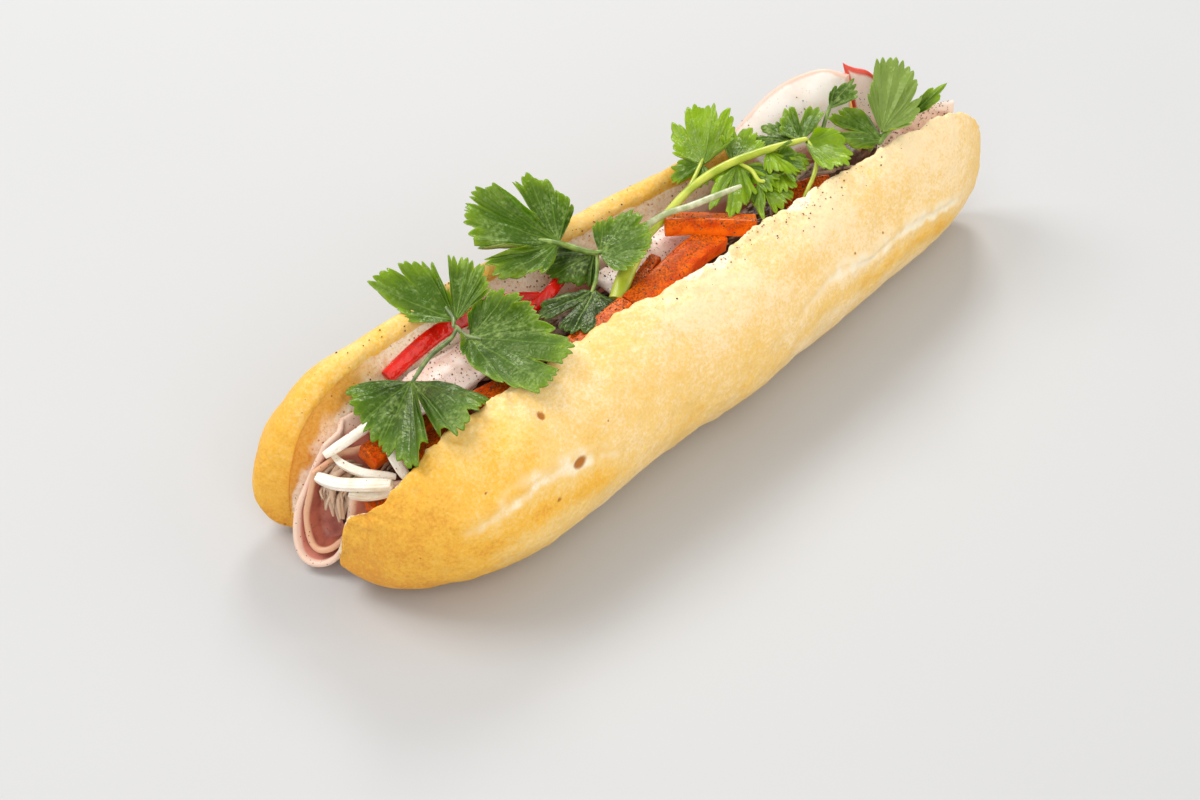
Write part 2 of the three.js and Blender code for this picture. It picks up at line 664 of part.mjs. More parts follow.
const PIECES = [
  ["coriander_sprig_left", "leaf", LEFT_SPRIG],
  ["coriander_sprig_middle", "leaf", MIDDLE_SPRIG],
  ["coriander_sprig_right", "leaf", RIGHT_SPRIG],
  ["coriander_sprig_end", "leaf", END_SPRIG],
  ["coriander_leaf_back", "leaf", BACK_LEAF],
  ["chilli_strip_left", "chilli", chilli(11, 40, LEFT_CHILLI, 5.8, 2.2)],
  ["chilli_strip_right", "chilli", chilli(6, 34, RIGHT_CHILLI, 4.2, 2.1)],
  ["daikon_strip_1", "daikon", daikon(DAIKON_1, 3.4, 3)],
  ["daikon_strip_2", "daikon", daikon(DAIKON_2, 2.6, 2.4)],
  ["daikon_strip_3", "daikon", daikon(DAIKON_3, 4, 3.2)],
  ["daikon_strip_4", "daikon", daikon([[-120, 5.6, 45], [-121, 1, 42.4], [-121.6, -3.6, 39.6]], 3.4, 2.8)],
  ["daikon_strip_5", "daikon", daikon([[-134, 9.5, 33], [-131, 4, 33.8], [-126, -1, 35]], 2.8, 2.4)],
  ["cold_cut_left", "pale_cut", LEFT_CUT],
  ["cold_cut_middle", "pale_cut", MIDDLE_CUT],
  ["cold_cut_back", "white_cut", BACK_CUT],
  ["cold_cut_end", "red_edged_cut", END_CUT],
  ["ham_end", "ham", END_HAM],
  ["carrot_baton_front", "carrot", carrot(10, FRONT_BATON, 9, 6.5)],
  ["carrot_baton_across", "carrot", carrot(-20, ACROSS_BATON, 8, 6)],
  ["carrot_stick_thin", "carrot", carrot(0, [[-52, -3.4, 48], [-38, -4.2, 49], [-24, -3.4, 50.2]], 5.5, 4.5)],
  ["carrot_stick_back", "carrot", carrot(0, [[-15.5, 2, 48.2], [-7.5, 4.2, 48.6], [0.5, 6.4, 49.2]], 4, 3.4)],
  ["carrot_stick_left", "carrot", carrot(12, [[-89, -1, 48], [-80, -3.4, 49], [-70, -5, 49.4]], 7, 5.5)],
  ["carrot_stick_end_1", "carrot", carrot(20, [[-124, 11.5, 40], [-112, 11, 41], [-98, 11, 41]], 7.5, 6)],
  ["carrot_stick_end_2", "carrot", carrot(0, END_STICK, 5.5, 4.5)],
  ["carrot_stick_end_3", "carrot", carrot(0, [[-119, -2.6, 46], [-106, -3.6, 47], [-94, -3, 47.4]], 6, 4.6)],
  ["carrot_stick_right", "carrot", carrot(15, [[54, -2, 47], [63, -4.5, 48], [70, -8, 48]], 6.5, 5)],
  ["carrot_stick_low", "carrot", carrot(0, [[-131, 3.8, 28.8], [-124, 3.4, 29.4], [-114, 3, 30]], 4.6, 4)],
  ["ham_outer", "ham", liner(OUTER_HAM, 11, 10)],
  ["ham_inner", "ham", liner(INNER_HAM, 8, 8)],
  ["shredded_pork", "pork", shreddedPork],
  ["bread", "bread", bread],
];

// ---------------------------------------------------------------- assembly
const FINISHES = {
  bread: [0xe8b562, 0.75],
  pork: [0xb08a6c, 0.6],
  ham: [0xdf9c8e, 0.45],
  pale_cut: [0xe9cfc2, 0.45],
  white_cut: [0xefe0d8, 0.4],
  red_edged_cut: [0xefd5cc, 0.4],
  carrot: [0xdb5a17, 0.45],
  daikon: [0xf1e6cf, 0.4],
  chilli: [0xc9160c, 0.25],
  leaf: [0x5f7a2c, 0.5],
};

const boxesMeet = (a, b) => {
  const [p, q] = [a.boundingBox(), b.boundingBox()];
  return [0, 1, 2].every((i) => p.min[i] < q.max[i] && q.min[i] < p.max[i]);
};

const group = new THREE.Group();
const above = [];
for (const [name, finish, make] of PIECES) {
  let solid = make(0);
  for (const cutter of above) if (boxesMeet(cutter, solid)) solid = solid.subtract(cutter);
  solid = largest(solid);
  above.push(make(GAP), solid);
  const [color, roughness] = FINISHES[finish];
  const material = new THREE.MeshStandardMaterial({ color, roughness, metalness: 0 });
  const mesh = new THREE.Mesh(toGeometry(solid), material);
  mesh.name = name;
  group.add(mesh);
}

// The origin is the middle of the footprint.
group.position.set(-FOOT_MIDDLE[0], -FOOT_MIDDLE[1], 0);

export default group;
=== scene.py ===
"""A banh mi: a crusty split roll with ham, cold cuts, pork, carrot, daikon, chilli and coriander.

Shapes are worked out in the roll's own frame, in millimetres: X runs along the roll, -Y is the
side of the tall front half, and Z is the height over the surface that the roll rests on.
"""

from __future__ import annotations

import itertools
import logging
import math
from collections.abc import Callable, Sequence
from dataclasses import dataclass, field
from enum import Enum
from typing import ClassVar

import bpy
import numpy as np
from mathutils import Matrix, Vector


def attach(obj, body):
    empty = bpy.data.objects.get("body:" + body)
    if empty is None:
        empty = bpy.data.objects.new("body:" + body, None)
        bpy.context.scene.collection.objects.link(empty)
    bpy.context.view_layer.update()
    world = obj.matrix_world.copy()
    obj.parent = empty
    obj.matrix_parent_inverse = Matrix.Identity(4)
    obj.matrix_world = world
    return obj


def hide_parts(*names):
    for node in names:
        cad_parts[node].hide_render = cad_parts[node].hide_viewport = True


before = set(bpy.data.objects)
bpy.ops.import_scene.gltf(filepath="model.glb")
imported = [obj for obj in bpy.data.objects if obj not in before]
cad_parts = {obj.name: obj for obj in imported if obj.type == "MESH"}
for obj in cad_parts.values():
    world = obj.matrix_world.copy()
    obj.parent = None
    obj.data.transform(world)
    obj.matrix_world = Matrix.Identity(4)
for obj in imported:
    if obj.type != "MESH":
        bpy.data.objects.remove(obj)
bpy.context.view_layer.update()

Array = np.ndarray
Curve = Callable[[Array], Array]
Point = tuple[float, float, float]
Tree = bpy.types.NodeTree
Socket = bpy.types.NodeSocket
Settings = dict[str | int, object]
Reads = dict[str, Socket]
Relief = tuple[tuple[str, float, float], ...]

LOG = logging.getLogger("banh_mi")
MM = 0.001
FOOT_MIDDLE = np.array([-0.95, 7.4, 0.0])  # the footprint's middle, in the roll's own frame
HINGE_THICKNESS = 7.0  # crumb left under the cut
HAM_THICKNESS = 2.0
HAM_FOLD = 4.2  # least distance between the two sides of a folded slice
OPEN_END = (-128.0, -122.0)  # x up to which the front and the back of the folds stand clear of the bread
CUT_THICKNESS = 2.6
LEAF_THICKNESS = 0.5
SIDE_VEIN_GAP = 2.7
OCTAVE_SHIFT = 31.7  # how far apart in space two layers of the same noise are read
TINY = 1e-9  # keeps a division clear of zero


# ---------------------------------------------------------------- numbers
def smooth(t: Array) -> Array:
    """A step from 0 to 1 with soft ends: 3 t squared less 2 t cubed, held inside 0 to 1."""
    s = np.clip(t, 0, 1)
    return s * s * (3 - 2 * s)


def mix(a: Array, b: Array, t: Array) -> Array:
    """The value a share t of the way from a to b."""
    return a + (b - a) * t


def bell(distance: Array, width: float) -> Array:
    """A soft bump: e to the minus square of distance over width."""
    return np.exp(-((distance / width) ** 2))


def waver(a: Array, b: Array = 0.0) -> Array:
    """A slow, seedless unevenness between about -1 and 1, from three sine waves."""
    slow = 0.5 * np.sin(0.041 * a + 1.3 * b)
    return slow + 0.3 * np.sin(0.093 * a - 0.7 * b + 1.1) + 0.2 * np.sin(0.21 * a + 2.1 * b + 0.4)


def along(*stations: tuple[float, float]) -> Curve:
    """A smooth curve through a few stations, with the slope at each from its two neighbours.

    Args:
        stations: pairs of x and value, in order of x.

    Returns:
        A function from an array of x to the array of values.
    """
    xs, values = np.array(stations, float).T
    count = len(xs)
    before = np.maximum(np.arange(count) - 1, 0)
    after = np.minimum(np.arange(count) + 1, count - 1)
    slopes = (values[after] - values[before]) / (xs[after] - xs[before])

    def curve(x: Array) -> Array:
        """Reads the curve.

        Args:
            x: places along it.

        Returns:
            The value at each place.
        """
        x = np.asarray(x, float)
        k = np.clip(np.searchsorted(xs, x, side="right") - 1, 0, count - 2)
        span = xs[k + 1] - xs[k]
        t = np.clip((x - xs[k]) / span, 0, 1)
        bend = (1 - t) * slopes[k] - t * slopes[k + 1]
        return mix(values[k], values[k + 1], smooth(t)) + span * t * (1 - t) * bend

    return curve


def blunt(inset: Array, length: float, power: float, root: float) -> Array:
    """Share of full size near a blunt tip: 1 from length inwards and 0 at the tip.

    Args:
        inset: distance from the tip.
        length: how far in the tip's rounding reaches.
        power: sharpness of the shoulder.
        root: bluntness of the tip.

    Returns:
        The root of one less the power of the share of the way out to the tip.
    """
    out = np.clip(1 - inset / length, 0, 1)
    return np.maximum(0, 1 - out**power) ** (1 / root)


class Noise:
    """Smooth seeded noise in space."""

    SIDE = 32

    def __init__(self, seed: int) -> None:
        """Fills a cube of random values that the noise repeats over."""
        draw = np.random.default_rng(seed)
        self.table = draw.uniform(-1, 1, (self.SIDE,) * 3)
        self.seeds = draw.uniform(0, 1, (self.SIDE, self.SIDE, self.SIDE, 3))

    def at(self, points: Array, grain: float | Sequence[float]) -> Array:
        """Random values on a lattice with cells as wide as the grain, blended by smooth steps.

        Args:
            points: places, in millimetres.
            grain: width of a cell, one for all directions or one for each.

        Returns:
            A value from -1 to 1 at each place.
        """
        place = points / np.asarray(grain, float)
        cell = np.floor(place).astype(int)
        share = smooth(place - cell)
        total = np.zeros(points.shape[:-1])
        for corner in itertools.product((0, 1), repeat=3):
            i, j, k = np.moveaxis((cell + corner) % self.SIDE, -1, 0)
            weight = np.where(np.array(corner, bool), share, 1 - share).prod(-1)
            total += weight * self.table[i, j, k]
        return total

    def fractal(self, points: Array, grain: float, octaves: int = 3) -> Array:
        """Sum of noises, each half as wide and half as strong as the one before it."""
        return sum(self.at(points + OCTAVE_SHIFT * n, grain / 2**n) / 2**n for n in range(octaves))

    def nearest_seed(self, points: Array, grain: float) -> Array:
        """Distance to the nearest of the seeds scattered one to a cell.

        Args:
            points: places, in millimetres.
            grain: width of a cell.

        Returns:
            The distance at each place, as a share of the grain.
        """
        place = points / grain
        cell = np.floor(place).astype(int)
        best = np.full(points.shape[:-1], np.inf)
        for step in itertools.product((-1, 0, 1), repeat=3):
            around = cell + step
            i, j, k = np.moveaxis(around % self.SIDE, -1, 0)
            gap = around + self.seeds[i, j, k] - place
            best = np.minimum(best, (gap**2).sum(-1))
        return np.sqrt(best)


def spline(stations: Sequence[Point], count: int = 400) -> Array:
    """A centripetal Catmull-Rom curve through the stations, sampled evenly in its parameter.

    Each stretch is a cubic whose end slopes come from the neighbours, weighted by the square
    root of the distances between stations. Past the ends, the first and last steps repeat.

    Args:
        stations: the points that the curve passes.
        count: how many samples it gives.

    Returns:
        The samples, one row each.
    """
    p = np.array(stations, float)
    p = np.vstack([2 * p[0] - p[1], p, 2 * p[-1] - p[-2]])
    t = np.linspace(0, len(stations) - 1, count)
    i = np.minimum(t.astype(int), len(stations) - 2)
    w = (t - i)[:, None]
    p0, p1, p2, p3 = p[i], p[i + 1], p[i + 2], p[i + 3]
    pairs = ((p0, p1), (p1, p2), (p2, p3))
    d0, d1, d2 = (np.linalg.norm(b - a, axis=1)[:, None] ** 0.5 for a, b in pairs)
    start = ((p1 - p0) / d0 - (p2 - p0) / (d0 + d1) + (p2 - p1) / d1) * d1
    end = ((p2 - p1) / d1 - (p3 - p1) / (d1 + d2) + (p3 - p2) / d2) * d1
    cubic = 2 * p1 - 2 * p2 + start + end
    square = -3 * p1 + 3 * p2 - 2 * start - end
    return p1 + start * w + square * w**2 + cubic * w**3


def resample(line: Array, shares: Array) -> Array:
    """Reads a sampled line by its length.

    Args:
        line: the samples, one row each.
        shares: shares of the line's length, from 0 to 1.

    Returns:
        The point at each share.
    """
    steps = np.linalg.norm(np.diff(line, axis=0), axis=1)
    length = np.concatenate([[0], np.cumsum(steps)])
    return np.stack([np.interp(shares * length[-1], length, line[:, k]) for k in range(3)], -1)


# ---------------------------------------------------------------- shapes
@dataclass
class Shape:
    """Points in millimetres, faces as arrays of point numbers, and values kept at each point."""

    points: Array
    faces: list[Array]
    values: dict[str, Array] = field(default_factory=dict)

    def triangles(self) -> Array:
        """Splits each quad from its first corner.

        Returns:
            The point numbers of every triangle.
        """
        parts = []
        for block in self.faces:
            parts.append(block[:, :3])
            if block.shape[1] == 4:
                parts.append(block[:, [0, 2, 3]])
        return np.concatenate(parts)

    def outward(self) -> Shape:
        """Turns the faces of a closed shape out, judged by its signed volume.

        Returns:
            The shape itself.
        """
        a, b, c = np.moveaxis(self.points[self.triangles()], 1, 0)
        if (a * np.cross(b, c)).sum() < 0:
            self.faces = [block[:, ::-1] for block in self.faces]
        return self


def joined(shapes: Sequence[Shape]) -> Shape:
    """Puts shapes together.

    Args:
        shapes: the shapes, which stay as they are.

    Returns:
        One shape with all of their points and faces, and the values that all of them keep.
    """
    offsets = np.cumsum([0] + [len(s.points) for s in shapes])
    kinds = sorted({block.shape[1] for s in shapes for block in s.faces})
    faces = []
    for kind in kinds:
        moved = [block + start for s, start in zip(shapes, offsets) for block in s.faces]
        faces.append(np.concatenate([block for block in moved if block.shape[1] == kind]))
    names = set.intersection(*(set(s.values) for s in shapes))
    values = {name: np.concatenate([s.values[name] for s in shapes]) for name in sorted(names)}
    return Shape(np.concatenate([s.points for s in shapes]), faces, values)


def grid_faces(numbers: Array) -> Array:
    """The quads between the neighbouring entries of a grid of point numbers."""
    corners = (numbers[:-1, :-1], numbers[1:, :-1], numbers[1:, 1:], numbers[:-1, 1:])
    return np.stack(corners, -1).reshape(-1, 4)


def grid_normals(points: Array) -> Array:
    """Unit normals of a grid of points, from the slopes along its rows and columns."""
    across = np.cross(np.gradient(points, axis=0), np.gradient(points, axis=1))
    return across / np.maximum(np.linalg.norm(across, axis=-1, keepdims=True), TINY)


def loft(rings: Array, values: dict[str, Array]) -> Shape:
    """A closed body from closed rings of equal length, with a fan over each end ring.

    Args:
        rings: points by ring, place on the ring and coordinate.
        values: values by ring and place on the ring.

    Returns:
        The body, with its faces turned out.
    """
    rows, columns = rings.shape[:2]
    numbers = np.arange(rows * columns).reshape(rows, columns)
    wrapped = np.concatenate([numbers, numbers[:, :1]], axis=1)
    centres = rings[[0, -1]].mean(axis=1)
    points = np.concatenate([rings.reshape(-1, 3), centres])
    first, last = wrapped[0], wrapped[-1]
    fans = [
        np.stack([first[:-1], first[1:], np.full(columns, rows * columns)], -1),
        np.stack([last[1:], last[:-1], np.full(columns, rows * columns + 1)], -1),
    ]
    kept = {name: np.append(v.reshape(-1), v[[0, -1]].mean(axis=1)) for name, v in values.items()}
    return Shape(points, [np.concatenate(fans), grid_faces(wrapped)], kept).outward()


def edge_steps(count: int, margin: float) -> Array:
    """Shares from 0 to 1 that crowd into the margin at both ends, where an edge is rounded."""
    near = margin * np.array([0, 0.1, 0.3, 0.6])
    return np.concatenate([near, np.linspace(margin, 1 - margin, count), (1 - near)[::-1]])


def sheet(points: Array, thickness: float, values: dict[str, Array]) -> Shape:
    """A closed sheet about a grid of points, whose two sides meet in a rounded edge.

    Half the thickness at a point is that of a quarter circle over its distance to the nearest
    border, up to the full half thickness.

    Args:
        points: the middle surface, by row, column and coordinate.
        thickness: of the sheet.
        values: values by row and column.

    Returns:
        The sheet, with its faces turned out.
    """
    rows, columns = points.shape[:2]
    length_u = np.linalg.norm(np.diff(points, axis=0), axis=-1).cumsum(0)
    length_v = np.linalg.norm(np.diff(points, axis=1), axis=-1).cumsum(1)
    from_u = np.concatenate([np.zeros((1, columns)), length_u])
    from_v = np.concatenate([np.zeros((rows, 1)), length_v], axis=1)
    to_edge = np.minimum.reduce([from_u, from_u[-1:] - from_u, from_v, from_v[:, -1:] - from_v])
    half = thickness / 2
    round_off = np.sqrt(1 - (1 - np.clip(to_edge / half, 0, 1)) ** 2)
    lift = (half * round_off)[..., None] * grid_normals(points)
    upper, lower = points + lift, (points - lift)[1:-1, 1:-1]
    top = np.arange(rows * columns).reshape(rows, columns)
    bottom = top.copy()
    bottom[1:-1, 1:-1] = rows * columns + np.arange(lower[..., 0].size).reshape(lower.shape[:2])
    faces = [np.concatenate([grid_faces(top), grid_faces(bottom)[:, ::-1]])]
    kept = {name: np.append(v.reshape(-1), v[1:-1, 1:-1].reshape(-1)) for name, v in values.items()}
    return Shape(np.concatenate([upper.reshape(-1, 3), lower.reshape(-1, 3)]), faces, kept).outward()


def colour(code: str) -> tuple[float, float, float, float]:
    """Turns an sRGB colour into linear light, by the sRGB curve.

    Args:
        code: six hex digits after a hash sign.

    Returns:
        Linear red, green and blue, and full alpha.
    """
    channels = [int(code[i : i + 2], 16) / 255 for i in (1, 3, 5)]
    linear = [c / 12.92 if c <= 0.04045 else ((c + 0.055) / 1.055) ** 2.4 for c in channels]
    return (*linear, 1.0)


def node(
    tree: Tree, kind: str, settings: Settings | None = None, links: dict[str | int, Socket] | None = None
) -> bpy.types.Node:
    """Adds a node to a material.

    Args:
        tree: the material's node tree.
        kind: Blender's name of the node's kind, without its prefix.
        settings: properties of the node, and values of its input sockets.
        links: outputs of other nodes, by the input that each feeds.

    Returns:
        The new node.
    """
    made = tree.nodes.new("ShaderNode" + kind)
    for key, value in (settings or {}).items():
        if isinstance(key, str) and hasattr(made, key):
            setattr(made, key, value)
        else:
            made.inputs[key].default_value = value
    for key, output in (links or {}).items():
        tree.links.new(output, made.inputs[key])
    return made


# ---------------------------------------------------------------- finishes
@dataclass(frozen=True)
class Pattern:
    """A texture on the piece's own coordinates, with its grain as a real size."""

    grain_mm: float
    settings: dict[str, float | str] = field(default_factory=dict)
    kind: str = "TexNoise"


@dataclass(frozen=True)
class Finish:
    """A material, with the settings that every one has."""

    name: str
    slot: str
    roughness: float = 0.5
    specular: float = 0.5
    shine: str = "#FFFFFF"  # colour of the reflections seen face on
    soft_light: float = 0.0  # share of light that goes in and comes out beside
    soft_depth_mm: float = 1.0
    soft_tint: tuple[float, float, float] = (1.0, 0.5, 0.3)

    kept: ClassVar[tuple[str, ...]] = ()  # values of the mesh that it reads
    relief: ClassVar[Relief] = ()  # bumps, coarse ones first: pattern, strength, depth in millimetres

    def patterns(self) -> dict[str, Pattern]:
        """The textures that the finish reads, by name."""
        raise NotImplementedError

    def paint(self, tree: Tree, reads: Reads) -> Reads:
        """Adds the nodes of its colours, and gives the output for each of the shader's inputs."""
        raise NotImplementedError

    def build(self) -> bpy.types.Material:
        """Makes the material once and gives the same one afterwards.

        Returns:
            The material: its patterns and kept values, painted, with its bumps one on another.
        """
        made = bpy.data.materials.get(self.name)
        if made:
            return made
        made = bpy.data.materials.new(self.name)
        made.use_nodes = True
        tree = made.node_tree
        tree.nodes.clear()
        place = node(tree, "TexCoord").outputs["Object"]
        reads = {key: node(tree, "Attribute", {"attribute_name": key}).outputs["Fac"] for key in self.kept}
        for key, pattern in self.patterns().items():
            settings = {"Scale": 1 / (pattern.grain_mm * MM), **pattern.settings}
            reads[key] = node(tree, pattern.kind, settings, {"Vector": place}).outputs[0]
        normal: Reads = {}
        for key, strength, depth in self.relief:
            settings = {"Strength": strength, "Distance": depth * MM}
            normal = {"Normal": node(tree, "Bump", settings, {"Height": reads[key], **normal}).outputs[0]}
        settings = {
            "Roughness": self.roughness,
            "Specular IOR Level": self.specular,
            "Specular Tint": colour(self.shine),
            "Subsurface Weight": self.soft_light,
            "Subsurface Scale": self.soft_depth_mm * MM,
            "Subsurface Radius": self.soft_tint,
        }
        shader = node(tree, "BsdfPrincipled", settings, {**self.paint(tree, reads), **normal})
        node(tree, "OutputMaterial", links={"Surface": shader.outputs["BSDF"]})
        return made


def blend(
    tree: Tree, share: Socket, low: str | Socket, high: str | Socket, span: tuple[float, float]
) -> Socket:
    """Blends two colours by a value, with a slow start and end.

    Args:
        tree: the material's node tree.
        share: the value that picks between them.
        low: colour where the value is at the span's start: a hex code or an output.
        high: colour where the value is at the span's end.
        span: the two values between which the colour changes.

    Returns:
        The blended colour's output.
    """
    ends = {"interpolation_type": "SMOOTHSTEP", "From Min": span[0], "From Max": span[1]}
    settings: Settings = {"data_type": "RGBA"}
    links: dict[str | int, Socket] = {0: node(tree, "MapRange", ends, {"Value": share}).outputs[0]}
    for socket, value in ((6, low), (7, high)):  # the Mix node's two colours
        if isinstance(value, str):
            settings[socket] = colour(value)
        else:
            links[socket] = value
    return node(tree, "Mix", settings, links).outputs[2]


@dataclass(frozen=True)
class BreadFinish(Finish):
    """Baked wheat dough: a thin satin crust, golden where the oven reached it, over matt pale crumb."""

    cream: str = "#FBE0B0"
    straw: str = "#F2C873"
    gold: str = "#F0B63E"
    golden: str = "#DF982E"
    dark: str = "#B06C1E"
    flour: str = "#FBECCB"
    crumb: str = "#FFF0D8"
    # darker crumb tone, also used for painted shade in the pores
    crumb_shade: str = "#F2CC9C"
    toasted: str = "#E6AC50"
    spice: str = "#A8703C"
    crumb_roughness: float = 0.9
    torn: tuple[float, float] = (0.62, 0.9)  # values between which crust gives way to crumb

    kept = ("bake", "slash", "pit", "pore", "toast", "crumb")
    relief = (("pebble", 0.7, 0.75), ("fine", 0.5, 0.22))

    def patterns(self) -> dict[str, Pattern]:
        """Three noises for the bake, cells for burnt specks and spice, and the crust's pebbling."""
        return {
            "broad": Pattern(22, {"Detail": 5.0, "Roughness": 0.55}),
            "patchy": Pattern(5, {"Detail": 5.0, "Roughness": 0.6}),
            "fine": Pattern(1.1, {"Detail": 5.0, "Roughness": 0.72}),
            "speck": Pattern(11, kind="TexVoronoi"),
            "spice": Pattern(2.1, kind="TexVoronoi"),
            "pebble": Pattern(2.6, {"Detail": 3.0}),
        }

    def paint(self, tree: Tree, reads: Reads) -> Reads:
        """Cream to golden by the kept bake value, flour-pale along the slash, crumb where it is torn.

        Args:
            tree: the material's node tree.
            reads: the outputs of the patterns and the kept values.

        Returns:
            The skin's colour and its roughness, by the shader's inputs.
        """
        bake, fine = reads["bake"], reads["fine"]
        for key, strength in (("broad", 0.7), ("patchy", 0.6), ("fine", 1.35)):
            centred = node(tree, "Math", {"operation": "SUBTRACT", 1: 0.5}, {0: reads[key]}).outputs[0]
            settings: Settings = {"operation": "MULTIPLY_ADD", 1: strength}
            bake = node(tree, "Math", settings, {0: centred, 2: bake}).outputs[0]
        crust = blend(tree, bake, self.cream, self.straw, (-0.15, 0.4))
        crust = blend(tree, bake, crust, self.gold, (0.35, 0.75))
        crust = blend(tree, bake, crust, self.golden, (0.7, 1.15))
        crust = blend(tree, bake, crust, self.dark, (1.2, 1.9))
        streak = node(tree, "Math", {"operation": "MULTIPLY"}, {0: reads["slash"], 1: fine}).outputs[0]
        crust = blend(tree, streak, crust, self.flour, (0.1, 0.48))
        crust = blend(tree, reads["speck"], self.dark, crust, (0.025, 0.06))
        crust = blend(tree, reads["pit"], crust, self.dark, (0.25, 0.9))
        inside = blend(tree, fine, self.crumb_shade, self.crumb, (0.34, 0.55))
        # Painted shade: the pores darkened toward the darker crumb tone.
        inside = blend(tree, reads["pore"], inside, self.crumb_shade, (0.2, 1.2))
        inside = blend(tree, reads["spice"], self.spice, inside, (0.08, 0.24))
        browned = blend(tree, fine, self.golden, self.toasted, (0.35, 0.6))
        inside = blend(tree, reads["toast"], inside, browned, (0.2, 1.0))
        settings = {"operation": "MULTIPLY_ADD", 1: 0.5}
        ragged = node(tree, "Math", settings, {0: fine, 2: reads["crumb"]}).outputs[0]
        settings = {"From Min": self.torn[0], "From Max": self.torn[1]}
        settings |= {"To Min": self.roughness, "To Max": self.crumb_roughness}
        matt = node(tree, "MapRange", settings, {"Value": ragged}).outputs[0]
        return {"Base Color": blend(tree, ragged, crust, inside, self.torn), "Roughness": matt}


@dataclass(frozen=True)
class SliceFinish(Finish):
    """Cured and steamed meat: moist and smooth, pink inside a paler or darker rim."""

    flesh: str = "#D98E7C"
    shade: str = "#B9604E"
    rim: str = "#EBC7AC"
    rim_mm: float = 2.6
    rim_fade_mm: float = 1.2
    spots: str = "#7A4A38"

    kept = ("edge_mm",)
    relief = (("fine", 0.35, 0.2),)

    def patterns(self) -> dict[str, Pattern]:
        """Clouds of the meat, a fine grain, and cells for the ground pepper."""
        return {
            "cloud": Pattern(7, {"Detail": 5.0, "Roughness": 0.6}),
            "fine": Pattern(0.9, {"Detail": 3.0}),
            "dust": Pattern(1.7, kind="TexVoronoi"),
        }

    def paint(self, tree: Tree, reads: Reads) -> Reads:
        """Flesh with soft darker clouds, the rim's colour near the edge, and fine ground pepper.

        Args:
            tree: the material's node tree.
            reads: the outputs of the patterns and the kept distance to the edge.

        Returns:
            The colour, by the shader's input.
        """
        meat = blend(tree, reads["cloud"], self.shade, self.flesh, (0.3, 0.62))
        settings: Settings = {"operation": "MULTIPLY_ADD", 1: 2.0}
        edge = node(tree, "Math", settings, {0: reads["cloud"], 2: reads["edge_mm"]}).outputs[0]
        meat = blend(tree, edge, self.rim, meat, (self.rim_mm, self.rim_mm + self.rim_fade_mm))
        return {"Base Color": blend(tree, reads["dust"], self.spots, meat, (0.06, 0.16))}


@dataclass(frozen=True)
class FibreFinish(Finish):
    """Pulled pork: moist fibres, brownish grey with paler strands, darker partly as painted shade of the
    pocket.
    """

    pale: str = "#CDAE92"
    # dark end of the fibres' colour, partly painted shade of the pocket
    brown: str = "#4A2814"

    kept = ("tone",)
    relief = (("fine", 0.5, 0.3),)

    def patterns(self) -> dict[str, Pattern]:
        """The grain of the fibres."""
        return {"fine": Pattern(1.5, {"Detail": 4.0, "Roughness": 0.7})}

    def paint(self, tree: Tree, reads: Reads) -> Reads:
        """Dark brownish to pale by the kept strand value and a fine noise; the dark end is partly painted
        shade of the pocket.

        Args:
            tree: the material's node tree.
            reads: the outputs of the grain and the kept tone.

        Returns:
            The colour, by the shader's input.
        """
        settings: Settings = {"operation": "MULTIPLY_ADD", 1: 0.8}
        tone = node(tree, "Math", settings, {0: reads["fine"], 2: reads["tone"]}).outputs[0]
        return {"Base Color": blend(tree, tone, self.brown, self.pale, (0.2, 1.1))}


@dataclass(frozen=True)
class RootFinish(Finish):
    """Cut root vegetable: wet flesh with fine grain along the stick."""

    flesh: str = "#E2571A"
    shade: str = "#B8330A"
    dust: str = "#6B3A1E"
    dust_share: float = 0.0

    kept = ("top",)
    relief = (("fine", 0.3, 0.2),)

    def patterns(self) -> dict[str, Pattern]:
        """Clouds of the flesh, and its grain, which also scatters the spice."""
        return {
            "cloud": Pattern(5, {"Detail": 4.0}),
            "fine": Pattern(0.8, {"Detail": 2.0, "Roughness": 0.8}),
        }

    def paint(self, tree: Tree, reads: Reads) -> Reads:
        """Flesh to shade by clouds, with ground spice where the faces look up.

        Args:
            tree: the material's node tree.
            reads: the outputs of the patterns and how far each face looks up.

        Returns:
            The colour, by the shader's input.
        """
        body = blend(tree, reads["cloud"], self.shade, self.flesh, (0.3, 0.55))
        settings: Settings = {"operation": "MULTIPLY_ADD", 1: self.dust_share}
        spice = node(tree, "Math", settings, {0: reads["top"], 2: reads["fine"]}).outputs[0]
        return {"Base Color": blend(tree, spice, body, self.dust, (0.55, 0.95))}


@dataclass(frozen=True)
class ChilliFinish(Finish):
    """Sliced chilli: a glossy red skin outside and paler, wetter flesh inside."""

    skin: str = "#EE1C0A"
    deep: str = "#C81206"
    flesh: str = "#E86A4A"

    kept = ("inner",)
    relief = (("fine", 0.5, 0.4),)

    def patterns(self) -> dict[str, Pattern]:
        """Slow clouds in the red, and the skin's soft unevenness."""
        return {"cloud": Pattern(6, {"Detail": 3.0}), "fine": Pattern(1.6, {"Detail": 1.0})}

    def paint(self, tree: Tree, reads: Reads) -> Reads:
        """Skin outside and flesh on the kept inner side, with slow clouds in the red."""
        red = blend(tree, reads["cloud"], self.deep, self.skin, (0.3, 0.6))
        return {"Base Color": blend(tree, reads["inner"], red, self.flesh, (0.3, 0.8))}


